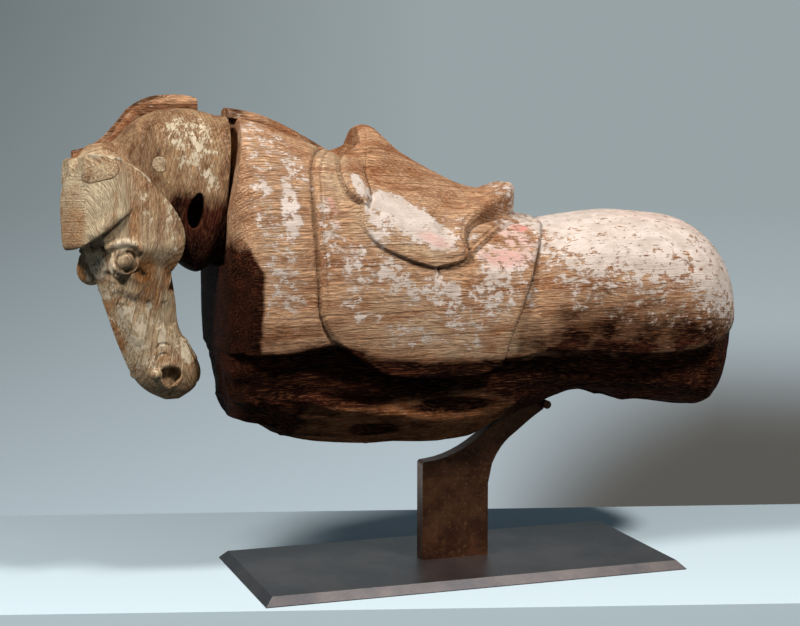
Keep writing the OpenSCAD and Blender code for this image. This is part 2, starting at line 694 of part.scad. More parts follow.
torso_log();
head_neck();
neck_tenon();
neck_plug();
ear_tenon_left();
ear_tenon_right();
mane_crest();
withers_strip();
base_plate();
post_arm();
cradle_crossbar();
cradle_pad();
support_pins();
base_screws();
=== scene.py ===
import math

import bpy
import numpy as np
from mathutils import Matrix, Vector


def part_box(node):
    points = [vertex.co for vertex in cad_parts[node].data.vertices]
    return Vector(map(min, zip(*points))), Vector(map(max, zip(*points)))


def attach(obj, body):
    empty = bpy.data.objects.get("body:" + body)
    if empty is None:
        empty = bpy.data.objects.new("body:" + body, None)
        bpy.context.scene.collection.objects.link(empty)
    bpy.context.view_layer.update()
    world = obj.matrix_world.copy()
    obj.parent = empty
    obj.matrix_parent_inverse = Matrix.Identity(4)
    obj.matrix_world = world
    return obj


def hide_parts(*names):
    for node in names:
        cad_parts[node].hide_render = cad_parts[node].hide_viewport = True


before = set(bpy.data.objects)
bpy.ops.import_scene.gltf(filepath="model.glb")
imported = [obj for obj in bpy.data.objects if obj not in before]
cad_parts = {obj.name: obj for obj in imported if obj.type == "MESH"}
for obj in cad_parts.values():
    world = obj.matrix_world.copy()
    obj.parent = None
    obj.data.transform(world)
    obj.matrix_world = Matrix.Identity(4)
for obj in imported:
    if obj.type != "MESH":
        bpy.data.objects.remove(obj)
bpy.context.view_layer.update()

bl_info = {
    "name": "Carved Wooden Horse",
    "version": (1, 0, 0),
    "blender": (4, 5, 0),
    "location": "View3D > Sidebar > Carved Horse",
    "description": "A pegged, hewn and once painted wooden horse on a steel display mount",
    "category": "Add Mesh",
}

BODY = "root"

# ---------------------------------------------------------------- shapes
# All lengths below are millimetres in the frame's own axes: +X chest to rump, -Y left, +Z up.

LOG_L, LOG_W, LOG_H = 646.0, 220.0, 384.0
CHEST_X, RUMP_X, BELLY_Z = -288.0, 358.0, 152.0
CHEST_ROUND, RUMP_ROUND = 40.0, 100.0
SEAT_CUT, FLANK_TUCK = 16.0, 8.0
CLOTH_T, FLAP_T, PAD_T = 4.0, 9.0, 6.0
SINK = 6.0
SLACK, PEG_SLACK = 0.3, 0.15  # round what is let into the wood, and round the head's pegs
RUMP_Z = BELLY_Z + 0.36 * LOG_H
BRISKET_Z = BELLY_Z + 0.46 * LOG_H
WIDE_Z = BELLY_Z + 0.46 * LOG_H

BACK = [(0, 1), (0.07, 0.985), (0.13, 0.95), (0.21, 0.885), (0.29, 0.81), (0.37, 0.755),
        (0.45, 0.715), (0.54, 0.685), (0.61, 0.68), (0.68, 0.693), (0.76, 0.703), (0.85, 0.69),
        (1, 0.67)]
UNDER = [(0, 0.1), (0.07, 0.08), (0.13, 0.04), (0.2, 0.018), (0.3, 0.004), (0.39, 0),
         (0.45, 0.006), (0.5, 0.03), (0.56, 0.075), (0.61, 0.107), (0.67, 0.126), (0.72, 0.12),
         (0.8, 0.09), (0.9, 0.064), (1, 0.064)]
FLANK = [(0, 0.98), (0.12, 1), (0.3, 0.98), (0.5, 0.93), (0.64, 0.93), (0.8, 1), (1, 0.98)]
SEATS = [(0, 0.32), (0.1, 0.32), (0.19, 0.335), (0.28, 0.285), (0.5, 0.27), (0.56, 0.29),
         (0.64, 0.288), (0.73, 0.274), (0.81, 0.274), (0.89, 0.286), (0.94, 0.298), (1, 0.305)]


def curve(table, t):
    """Height at t of the smooth curve through the table's points, flat outside them."""
    x, y = np.array(table, float).T
    m = np.empty_like(y)
    m[1:-1] = (y[2:] - y[:-2]) / (x[2:] - x[:-2])
    m[0], m[-1] = (y[1] - y[0]) / (x[1] - x[0]), (y[-1] - y[-2]) / (x[-1] - x[-2])
    t = np.clip(np.asarray(t, float), x[0], x[-1])
    i = np.clip(np.searchsorted(x, t, "right") - 1, 0, len(x) - 2)
    w = x[i + 1] - x[i]
    s = (t - x[i]) / w
    return ((2 * s**3 - 3 * s**2 + 1) * y[i] + (s**3 - 2 * s**2 + s) * w * m[i]
            + (3 * s**2 - 2 * s**3) * y[i + 1] + (s**3 - s**2) * w * m[i + 1])


def closed_curve(points, count):
    """count points along the smooth closed curve through the points."""
    p = np.array(points, float)
    n, s = len(p), np.linspace(0, len(points), count, endpoint=False)
    a = s.astype(int)
    t = (s - a)[:, None]
    p0, p1, p2, p3 = p[(a - 1) % n], p[a % n], p[(a + 1) % n], p[(a + 2) % n]
    return (p1 + (p2 - p0) * t / 2 + (p0 * 2 - p1 * 5 + p2 * 4 - p3) * t**2 / 2
            + (p1 * 3 - p0 - p2 * 3 + p3) * t**3 / 2)


def blend(t):
    s = np.clip(t, 0, 1)
    return s * s * (3 - 2 * s)


def power(base, e):
    return np.maximum(base, 0) ** e


def rounding(t, n):
    """Falls from 1 to 0 along a quarter of a superellipse as t goes from 0 to 1."""
    return power(1 - np.clip(t, 0, 1) ** n, 1 / n)


def share(x):
    return (x - CHEST_X) / LOG_L


def rump_t(x):
    return (x - (RUMP_X - RUMP_ROUND)) / RUMP_ROUND


def chest_t(x):
    return (CHEST_X + CHEST_ROUND - x) / CHEST_ROUND


def back_z(x):
    z = BELLY_Z + curve(BACK, share(x)) * LOG_H
    return RUMP_Z + (z - RUMP_Z) * rounding(rump_t(x), 2.1)


def under_z(x):
    z = BELLY_Z + curve(UNDER, share(x)) * LOG_H
    c = BRISKET_Z + (z - BRISKET_Z) * rounding(chest_t(x), 3.2)
    return RUMP_Z + (c - RUMP_Z) * rounding(rump_t(x), 4.5)


def half_w(x):
    return (LOG_W / 2 * curve(FLANK, share(x)) * rounding(rump_t(x), 2.2)
            * rounding(chest_t(x), 3))


def mid_z(x):
    return RUMP_Z + (np.minimum(WIDE_Z, (back_z(x) + under_z(x)) / 2 + 20) - RUMP_Z) \
        * rounding(rump_t(x), 2.2)


def seat_z(x):
    z = BELLY_Z + curve(SEATS, share(x)) * LOG_H
    return np.maximum(under_z(x) + 0.02, RUMP_Z + (z - RUMP_Z) * rounding(rump_t(x), 2.4))


def tuck(x):
    return FLANK_TUCK * np.minimum(1, half_w(x) / 60)


def skin(x, q, out=0.0):
    """Points of the log's skin at x; q is 0 on the back and 1 at the flank's lower edge."""
    x, q, out = np.broadcast_arrays(np.asarray(x, float), q, out)
    w, m = half_w(x), mid_z(x)
    a = np.radians(90 * np.minimum(np.abs(q) / 0.7, 1))
    p = np.maximum(0, (np.abs(q) - 0.7) / 0.3)
    y = w * power(np.sin(a), 0.86) - tuck(x) * p * p
    z = np.where(p > 0, m - (m - seat_z(x)) * p, m + (back_z(x) - m) * power(np.cos(a), 0.86))
    side = np.where(q < 0, 1.0, -1.0)
    return np.stack([x, side * (y + out * np.sin(a)), z + out * np.cos(a)], -1)


def girth(p):
    """The girth q of points near the log's skin, the inverse of skin()."""
    x, y, z = p[:, 0], np.abs(p[:, 1]), p[:, 2]
    w, m = np.maximum(half_w(x), 1), mid_z(x)
    up = power((z - m) / np.maximum(back_z(x) - m, 1), 1 / 0.86)
    a = np.degrees(np.arctan2(power(y / w, 1 / 0.86), up))
    return np.where(z >= m, a / 90 * 0.7, 0.7 + 0.3 * (m - z) / np.maximum(m - seat_z(x), 1))


def under(x, b):
    """Points of the hewn underside; b is 0 at the leg seat and 1 at the belly's middle."""
    x, b = np.broadcast_arrays(np.asarray(x, float), b)
    depth = SEAT_CUT * (1 - blend((share(x) - 0.9) / 0.03)) * np.minimum(1, half_w(x) / 60)
    w = np.maximum(half_w(x) - tuck(x) - depth, 0.01)
    a = np.radians(90 * b)
    z0 = seat_z(x)
    return np.stack([x, -w * power(np.cos(a), 0.8),
                     z0 - (z0 - under_z(x)) * power(np.sin(a), 0.9)], -1)


def torso_rings():
    x = np.concatenate([
        CHEST_X + 0.01 + CHEST_ROUND * (1 - np.cos(np.linspace(0, np.pi / 2, 40))[:-1]),
        np.linspace(CHEST_X + CHEST_ROUND, RUMP_X - RUMP_ROUND, 170)[:-1],
        RUMP_X - RUMP_ROUND * (1 - np.sin(np.linspace(0, np.pi / 2, 60))) - 0.01])[:, None]
    left = np.concatenate([skin(x, np.linspace(0, 1, 90)[None]),
                           under(x, np.linspace(0, 1, 50)[None])], 1)
    right = left * (1, -1, 1)
    return np.concatenate([right, left[:, -2:0:-1]], 1)


def at(s):
    """The place along the log at a share of its length."""
    return CHEST_X + s * LOG_L


def edge(table):
    """An edge over the log's back: the place along the log at each girth."""
    return lambda q: at(curve(table, abs(q)))


CLOTH_Q, FLAP_Q, LOBE_Q, PAD_Q = 1.08, 0.56, 0.4, 0.55
CLOTH_FRONT = [(0, 0.21), (0.15, 0.18), (0.3, 0.157), (0.45, 0.149), (0.74, 0.153), (0.83, 0.16),
               (0.9, 0.169), (0.96, 0.18), (1, 0.195), (1.03, 0.215), (1.05, 0.245), (1.065, 0.28),
               (1.08, 0.36)]
CLOTH_REAR = [(0, 0.605), (0.14, 0.596), (0.3, 0.576), (0.46, 0.555), (0.58, 0.54), (0.73, 0.515),
              (0.86, 0.5), (0.97, 0.493), (1.03, 0.484), (1.06, 0.465), (1.08, 0.43)]
FLAP_FRONT = [(0, 0.262), (0.12, 0.255), (0.25, 0.24), (0.35, 0.23), (0.42, 0.226)]
FLAP_REAR = [(0, 0.568), (0.1, 0.543), (0.2, 0.485), (0.3, 0.441), (0.4, 0.422), (0.48, 0.424),
             (0.52, 0.403), (0.56, 0.36)]
LOBE_FRONT = [(0, 0.262), (0.03, 0.255), (0.15, 0.219), (0.25, 0.205), (0.34, 0.205),
              (0.375, 0.214), (0.4, 0.235)]
LOBE_REAR = [(0, 0.275), (0.06, 0.268), (0.2, 0.254), (0.35, 0.25), (0.4, 0.24)]
PAD_REAR = [(0, 0.6), (0.085, 0.585), (0.2, 0.525), (0.34, 0.475), (0.43, 0.442), (0.49, 0.42),
            (0.55, 0.38)]
RIDGE = [(0, 0.125), (0.05, 0.148), (0.11, 0.154), (0.16, 0.143), (0.28, 0.117), (0.47, 0.096),
         (0.66, 0.078), (0.79, 0.081), (0.91, 0.104), (0.97, 0.108), (1, 0.1)]


cloth_front, cloth_rear, flap_rear = edge(CLOTH_FRONT), edge(CLOTH_REAR), edge(FLAP_REAR)
lobe_front, lobe_rear, pad_rear = edge(LOBE_FRONT), edge(LOBE_REAR), edge(PAD_REAR)


def flap_front(q):
    """The flap's front edge, which turns back in a round corner at its foot."""
    corner = 1 - rounding((abs(q) - 0.42) / (FLAP_Q - 0.42), 3)
    return at(curve(FLAP_FRONT, abs(q)) + 0.13 * corner)


def pad_front(q):
    return at(0.4 - 0.04 * blend((abs(q) - 0.3) / 0.25))


def rim(t, w):
    """Share of its full height that a sheet has, its edges rounded over a share w of it."""
    return 0.3 + 0.7 * rounding(1 - np.minimum(t, 1 - t) / w, 2)


def flap_proud(t, q):
    fall = blend(abs(q) / (0.2 + 0.12 * t))
    return curve(RIDGE, t) * LOG_H * (1 - fall) + FLAP_T * fall * rim(t, 0.05)


def lobe_proud(t, q):
    over = np.maximum(flap_proud(0.02, q) - FLAP_T, 0)
    return 3.5 + FLAP_T * rim(t, 0.35) + 0.72 * over * power(t, 0.6)


def relief(q_end, rows, cols, front, rear, proud, sink):
    """A sheet that stands off the log's back between the edges front and rear."""
    q = (q_end * np.sin(np.linspace(-np.pi / 2, np.pi / 2, rows)))[:, None]
    t = ((1 - np.cos(np.linspace(0, np.pi, cols))) / 2)[None]
    x = front(q) + (rear(q) - front(q)) * t
    outer, inner = skin(x, q, proud(t, q)), skin(x, q, -sink)
    return np.concatenate([outer, inner[:, ::-1]], 1)


# ---------------------------------------------------------------- meshes


def object_from(vertices, faces, name):
    """An object in metres from vertices in millimetres and an array of faces."""
    mesh = bpy.data.meshes.new(name)
    n, k = faces.shape
    mesh.vertices.add(len(vertices))
    mesh.vertices.foreach_set("co", (np.asarray(vertices) / 1000).astype(np.float32).ravel())
    mesh.loops.add(n * k)
    mesh.loops.foreach_set("vertex_index", faces.astype(np.int32).ravel())
    mesh.polygons.add(n)
    mesh.polygons.foreach_set("loop_start", np.arange(0, n * k, k, dtype=np.int32))
    mesh.polygons.foreach_set("loop_total", np.full(n, k, np.int32))
    mesh.update(calc_edges=True)
    mesh.validate()
    obj = bpy.data.objects.new(name, mesh)
    bpy.context.collection.objects.link(obj)
    return obj


def loft(rings, name="loft"):
    """A closed object through rings of equally many points, its ends closed by fans."""
    rings = np.asarray(rings, float)
    n, m = rings.shape[:2]
    i, j = np.meshgrid(np.arange(n - 1), np.arange(m), indexing="ij")
    k = (j + 1) % m
    a, b, c, d = i * m + j, i * m + k, (i + 1) * m + k, (i + 1) * m + j
    tri = [np.stack([a, c, b], -1).reshape(-1, 3), np.stack([a, d, c], -1).reshape(-1, 3)]
    j = np.arange(1, m - 1)
    tri.append(np.stack([j * 0, j, j + 1], -1))
    tri.append(np.stack([j * 0, j + 1, j], -1) + (n - 1) * m)
    return outward(rings.reshape(-1, 3), np.concatenate(tri), name)


def outward(vertices, tri, name):
    """An object from triangles, turned so that they face outward."""
    a, b, c = (vertices[tri[:, k]] for k in range(3))
    if np.einsum("ij,ij->", a, np.cross(b, c)) < 0:
        tri = tri[:, ::-1]
    return object_from(vertices, tri, name)


def evaluated(obj):
    """Puts the object's modifiers into its mesh."""
    made = bpy.data.meshes.new_from_object(
        obj.evaluated_get(bpy.context.evaluated_depsgraph_get()))
    old = obj.data
    obj.modifiers.clear()
    obj.data = made
    bpy.data.meshes.remove(old)
    return obj


def combine(obj, others, operation):
    """Joins the others to the object, cuts them from it or keeps what they share with it,
    and deletes them."""
    for other in others:
        mod = obj.modifiers.new(operation, "BOOLEAN")
        mod.operation, mod.solver, mod.object = operation, "MANIFOLD", other
    evaluated(obj)
    for other in others:
        bpy.data.objects.remove(other)
    return obj


def remeshed(obj, size):
    """The object's mesh made anew in voxels of the size."""
    mod = obj.modifiers.new("voxels", "REMESH")
    mod.mode, mod.voxel_size, mod.use_smooth_shade = "VOXEL", size / 1000, True
    return evaluated(obj)


def node_copy(node, swell=0.0):
    """A closed copy of a CAD node, its skin moved outward by swell."""
    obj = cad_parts[node].copy()
    obj.data = obj.data.copy()
    obj.parent = None
    obj.matrix_world = Matrix.Identity(4)
    for key in list(obj.keys()):
        del obj[key]
    bpy.context.collection.objects.link(obj)
    mod = obj.modifiers.new("weld", "WELD")
    mod.merge_threshold = 0.00001
    evaluated(obj)
    if swell:
        v = vertices_of(obj)
        centre = (v.min(0) + v.max(0)) / 2
        half = (v.max(0) - v.min(0)) / 2
        set_vertices(obj, centre + (v - centre) * (half + swell) / half)
    return obj


def vertices_of(obj):
    co = np.empty(len(obj.data.vertices) * 3, np.float32)
    obj.data.vertices.foreach_get("co", co)
    return co.reshape(-1, 3).astype(float) * 1000


def set_vertices(obj, v):
    obj.data.vertices.foreach_set("co", (v / 1000).astype(np.float32).ravel())
    obj.data.update()


def prism(outline, half_depth):
    """A block with an outline in X and Z, from -half_depth to half_depth in Y."""
    o = np.array(outline, float)
    y = np.full(len(o), half_depth)
    return loft([np.stack([o[:, 0], -y, o[:, 1]], -1), np.stack([o[:, 0], y, o[:, 1]], -1)])


def ball(centre, radii, count=28):
    """An ellipsoid in the head's own coordinates, its poles across the head."""
    t = np.linspace(0.03, np.pi - 0.03, count)[:, None]
    a = np.linspace(0, 2 * np.pi, 2 * count, endpoint=False)[None]
    p = np.stack([np.sin(t) * np.sin(a), np.cos(t) + 0 * a, np.sin(t) * np.cos(a)], -1)
    return loft(head_place(np.array(centre) + p * np.array(radii)))


# ------------------------------------------------------------- head and neck

NECK_HALF_W, NECK_H = 62.0, 166.0
CHEEK_W, HEAD_L, HEAD_TURN, HEAD_ROLL = 53.0, 284.0, 14.0, 6.0
JOINT_X = CHEST_X + 6
JOINT_Z = BELLY_Z + 0.72 * LOG_H
JOINT_FOOT = JOINT_Z - 58
JOINT_TOP = BELLY_Z + LOG_H + 80
PIVOT = np.array([JOINT_X - 91, 0, JOINT_FOOT + 0.6 * NECK_H])

NECK_TOP = [(0, 0.985), (30, 1.03), (62, 1.025), (80, 0.99), (96, 0.93), (115, 0.82),
            (135, 0.74), (165, 0.7)]
NECK_FOOT = [(0, 0.01), (8, 0.01), (16, -0.03), (28, -0.055), (47, 0.03), (68, 0.16),
             (105, 0.35), (140, 0.5), (165, 0.56)]
NECK_WIDTH = [(0, 1), (35, 0.96), (70, 0.82), (110, 0.72), (165, 0.45)]
BROW = [(0, 50), (0.06, 66), (0.15, 73), (0.26, 71), (0.36, 65), (0.44, 56), (0.52, 48),
        (0.61, 41), (0.715, 33), (0.8, 25), (0.87, 17), (0.925, 8), (0.968, -5), (1, -22)]
JAW = [(0, 0), (0.06, -18), (0.15, -26), (0.3, -30), (0.44, -29), (0.52, -31), (0.61, -35),
       (0.715, -38), (0.8, -50), (0.87, -61), (0.925, -61), (0.968, -52), (1, -38)]
HEAD_WIDTH = [(0, 0.5), (0.06, 0.74), (0.15, 0.86), (0.26, 0.92), (0.36, 0.93), (0.44, 0.88),
              (0.52, 0.78), (0.61, 0.66), (0.715, 0.58), (0.8, 0.56), (0.87, 0.57),
              (0.925, 0.52), (0.968, 0.38), (1, 0.12)]
CHEEK = [(66, 19), (43, 14), (15, 0), (-7, -22), (-23, -49), (-32, -78), (-29, -100),
         (-14, -117), (8, -122), (30, -112), (50, -84), (64, -40), (71, -8)]
CHEEK_DOME = [(0.04, 1.035), (0.3, 1.03), (0.6, 1.015), (0.8, 1.0), (0.93, 0.98), (1, 0.955)]
FORELOCK = [(-81, 78, 81), (-77, 72, 84), (-68, 61, 85), (-56, 46, 85), (-44, 30, 85),
            (-26, 28, 84), (-10, 28, 80), (4, 30, 74), (13, 34, 65), (19, 38, 54)]


def neck_top(d):
    return JOINT_FOOT + curve(NECK_TOP, d) * NECK_H


def neck_foot(d):
    return JOINT_FOOT + curve(NECK_FOOT, d) * NECK_H


def neck_half(d):
    return NECK_HALF_W * curve(NECK_WIDTH, d)


def neck_rings():
    d = np.linspace(-40, 165, 110)[:, None]
    a = -np.linspace(0, 2 * np.pi, 160, endpoint=False)[None]
    h = (neck_top(d) - neck_foot(d)) / 2
    y = np.sign(np.sin(a)) * neck_half(d) * power(abs(np.sin(a)), 0.62)
    z = neck_foot(d) + h + np.sign(np.cos(a)) * h * power(abs(np.cos(a)), 0.62)
    return np.stack(np.broadcast_arrays(JOINT_X - d, y, z), -1)


TURN = np.array(Matrix.Rotation(math.radians(HEAD_TURN), 3, "Z")
                @ Matrix.Rotation(math.radians(-HEAD_ROLL), 3, "X"))


def head_place(p):
    """Points given as (forward of the pivot, across, above the pivot) in the head's frame."""
    return (np.asarray(p, float) * (-1, 1, 1)) @ TURN.T + PIVOT


def head_local(p):
    return ((p - PIVOT) @ TURN) * (-1, 1, 1)


def head_rings():
    h = np.linspace(0, 1, 140)[:, None]
    a = -np.linspace(0, 2 * np.pi, 160, endpoint=False)[None]
    c, s = np.cos(a), np.sin(a)
    front, back = curve(BROW, h), curve(JAW, h)
    mid = (front + back) / 2 - 2
    w = CHEEK_W * curve(HEAD_WIDTH, h)
    u = mid + np.where(c > 0, front - mid, mid - back) * np.sign(c) \
        * np.where(c > 0, power(abs(c), 0.95), power(abs(c), 0.75))
    y = np.sign(s) * w * np.where(c > 0, power(abs(s), 0.9), power(abs(s), 0.7))
    z = 33 - h * HEAD_L + 0 * a
    return head_place(np.stack(np.broadcast_arrays(u, y, z), -1))


def cheek(side):
    """The round cheek, sharp at its rear rim and dying into the jaw below."""
    line = closed_curve(CHEEK, 200)
    mid = np.array([22, -52])
    rings = []
    for s, depth in [(1, 0.4), (1, 0.6)] + [
            (s, curve(CHEEK_DOME, s)) for s in np.sin(np.linspace(np.pi / 2, 0.04, 60))]:
        p = mid + (line - mid) * s
        fade = 0.3 * blend((-80 - p[:, 1]) / 40) + 0.36 * blend((p[:, 0] - 28) / 42)
        rings.append(np.stack([p[:, 0], side * CHEEK_W * (depth - fade), p[:, 1]], -1))
    return loft(head_place(np.array(rings)))


def forelock_rings():
    z = np.linspace(-81, 19, 90)
    a, b = curve([(r[0], r[1]) for r in FORELOCK], z), curve([(r[0], r[2]) for r in FORELOCK], z)
    rings = []
    for z0, a0, b0 in zip(z, a, b):
        t = np.sin(np.linspace(np.arcsin((a0 - 24) / (b0 - 24)), np.pi / 2, 60))
        u = 24 + (b0 - 24) * t
        half = CHEEK_W * 0.97 * rounding(t, 1.9)
        left = np.stack([u, -half, np.full(60, z0)], -1)
        rings.append(np.concatenate([left, (left * (1, -1, 1))[-2::-1]]))
    return head_place(np.array(rings))


def joint_block(lean, way):
    """All that is in front (-1) or behind (1) of the joint's plane, which leans back."""
    x = JOINT_X - way * 0.03
    z0 = JOINT_FOOT if way < 0 else JOINT_FOOT - NECK_H
    lean = math.tan(math.radians(lean))
    o = [(x, z0), (x, JOINT_Z), (x + (JOINT_TOP - JOINT_Z) * lean, JOINT_TOP),
         (x + way * LOG_L, JOINT_TOP), (x + way * LOG_L, z0)]
    return prism(o if way > 0 else o[::-1], 1.5 * LOG_W)


# ---------------------------------------------------------- sculpting tools


def lattice(i, seed):
    h = (i[:, 0] * 73856093) ^ (i[:, 1] * 19349663) ^ (i[:, 2] * 83492791) ^ (seed * 2654435761)
    h = (h ^ (h >> 13)) * 1274126177 & 0xFFFFFFFF
    h = (h ^ (h >> 16)) * 2246822519 & 0xFFFFFFFF
    return ((h ^ (h >> 15)) & 0xFFFFFF) / 8388607.5 - 1


def noise(p, cell, seed, octaves=1):
    """Smooth noise from -1 to 1 over points, with cells of the given size."""
    total, weight = np.zeros(len(p)), 0
    for k in range(octaves):
        s = p / (np.array(cell, float) / 2**k)
        i = np.floor(s).astype(np.int64)
        f = s - i
        f = f * f * (3 - 2 * f)
        value = 0
        for corner in range(8):
            c = np.array([corner & 1, corner >> 1 & 1, corner >> 2])
            w = np.prod(np.where(c, f, 1 - f), 1)
            value = value + w * lattice(i + c, seed + 17 * k)
        total += value * 0.5**k
        weight += 0.5**k
    return total / weight


def path_of(points, step=1.0):
    """Points at equal steps along the smooth open curve through the points."""
    p = np.array(points, float)
    t = np.concatenate([[0], np.cumsum(np.linalg.norm(np.diff(p, axis=0), axis=1))])
    s = np.linspace(0, t[-1], max(2, int(t[-1] / step) + 1))
    return np.stack([curve(np.stack([t, p[:, k]], -1), s) for k in range(p.shape[1])], -1)


def near(path, reach, points, where):
    """Distance to a path and place along it, for points within reach of it."""
    lo, hi = path.min(0) - reach, path.max(0) + reach
    index = np.nonzero(np.all((points >= lo) & (points <= hi), 1) & where)[0]
    distance, place = np.full(len(points), 1e9), np.zeros(len(points))
    at_once = 20000
    for k in range(0, len(index), at_once):
        part = index[k:k + at_once]
        d = points[part][:, None] - path[None]
        d = np.einsum("ijk,ijk->ij", d, d)
        best = d.argmin(1)
        distance[part] = np.sqrt(d[np.arange(len(part)), best])
        place[part] = best / max(len(path) - 1, 1)
    return distance, place


class Carving:
    """A mesh as arrays in millimetres, for smoothing, carving and painting."""

    def __init__(self, obj):
        self.obj = obj
        self.v = vertices_of(obj)
        e = np.empty(len(obj.data.edges) * 2, np.int32)
        obj.data.edges.foreach_get("vertices", e)
        self.e = e.reshape(-1, 2)
        self.degree = np.maximum(np.bincount(e, minlength=len(self.v)), 1)[:, None]

    def refresh(self):
        """Stores the moved vertices and reads their new normals."""
        set_vertices(self.obj, self.v)
        n = np.empty(len(self.v) * 3, np.float32)
        self.obj.data.vertex_normals.foreach_get("vector", n)
        self.n = n.reshape(-1, 3).astype(float)

    def mean(self, field):
        """The mean of a field over each vertex's neighbours."""
        a, b = self.e.T
        count = len(self.v)
        field = field.reshape(count, -1)
        out = np.stack([np.bincount(a, f[b], count) + np.bincount(b, f[a], count)
                        for f in field.T], -1)
        return out / self.degree

    def smooth(self, times):
        for _ in range(times):
            self.v = self.v + (self.mean(self.v) - self.v) * 0.6
        self.refresh()

    def soften(self, field, times):
        for _ in range(times):
            field = 0.4 * field + 0.6 * self.mean(field)[:, 0]
        return field

    def push(self, height):
        self.v = self.v + self.n * height[:, None]

    def hollows(self):
        """How deep each vertex lies in a hollow, from -1 on ridges to 1 in grooves a millimetre
        deep.
        """
        flat = self.v
        for _ in range(8):
            flat = flat + (self.mean(flat) - flat) * 0.6
        return np.clip(np.sum((flat - self.v) * self.n, 1), -1, 1)

    def aside(self, points, reach, where):
        """Distance to a line in the head's side view, negative to the right of its course."""
        path = path_of(points)
        flat = head_local(self.v)[:, [0, 2]]
        distance, place = near(path, reach, flat, where)
        k = np.clip((place * (len(path) - 1)).round().astype(int), 0, len(path) - 2)
        way = path[k + 1] - path[k]
        off = flat - path[k]
        return distance * np.sign(way[:, 0] * off[:, 1] - way[:, 1] * off[:, 0])


def carving(obj, size, times):
    """The object remeshed at the size and smoothed, ready to carve."""
    c = Carving(remeshed(obj, size))
    c.smooth(times)
    return c


# ------------------------------------------------------------------ carving

GIRTH_MM = 225.0  # about how far it is from the back to the flank's lower edge
DEEPEST = 6.5  # no stroke goes further than this from the uncarved form


def hump(distance, width):
    """1 on a line, falling smoothly to 0 at the width on both sides."""
    return power(1 - np.clip(np.abs(distance) / width, 0, 1) ** 2, 2)


def notch(distance, width):
    """1 on a line, falling straight to 0 at the width on both sides, as a knife cuts."""
    return np.clip(1 - np.abs(distance) / width, 0, 1)


def beyond(x, q, edge):
    """Distance behind (+) or in front of (-) an edge that is given along the log's girth."""
    slope = (edge(q + 0.004) - edge(q - 0.004)) / 0.008 / GIRTH_MM
    return (x - edge(q)) / np.sqrt(1 + slope**2)


def ends(place):
    """Lets a stroke run out softly at both of its ends."""
    return blend(place / 0.16) * blend((1 - place) / 0.16)


def band(value, low, high, soft):
    """1 between low and high, falling to 0 over soft outside them."""
    return blend((value - low) / soft + 1) * blend((high - value) / soft + 1)


def blots(u, v, marks):
    """The strongest of soft oval marks, given as (u, v, half length, half height, strength)."""
    found = np.zeros(len(u))
    for mu, mv, ru, rv, strength in marks:
        d = np.sqrt(((u - mu) / ru) ** 2 + ((v - mv) / rv) ** 2)
        found = np.maximum(found, strength * blend(1.5 - d))
    return found


GROOVES = [
    # edge, shape, height (- is cut), place behind the edge, half width, girth, softness
    (cloth_front, notch, -2.6, -3, 3.2, (0, 0.9), 0.2),
    (cloth_front, notch, -1.4, 7, 2.4, (0.05, 0.6), 0.25),
    (cloth_rear, notch, -1.4, 2.5, 3, (0, CLOTH_Q), 0.2),
    (flap_rear, notch, -4.0, 3, 4, (0.2, FLAP_Q), 0.04),
    (flap_rear, notch, -1.2, -6, 2.5, (0.28, 0.5), 0.04),
    (flap_rear, hump, 3.0, -8, 9, (0.05, 0.46), 0.06),
    (flap_rear, hump, -2.6, -25, 13, (0.08, 0.42), 0.08),
    (pad_rear, notch, -1.8, -4, 2.5, (0.05, 0.44), 0.03),
    (pad_rear, notch, -2.5, 3, 3.5, (0.02, 0.46), 0.03),
    (lobe_front, notch, -1.4, -2.5, 3, (0.12, LOBE_Q), 0.03),
    (lobe_rear, notch, -2.0, 2, 3, (0.05, LOBE_Q), 0.03),
]


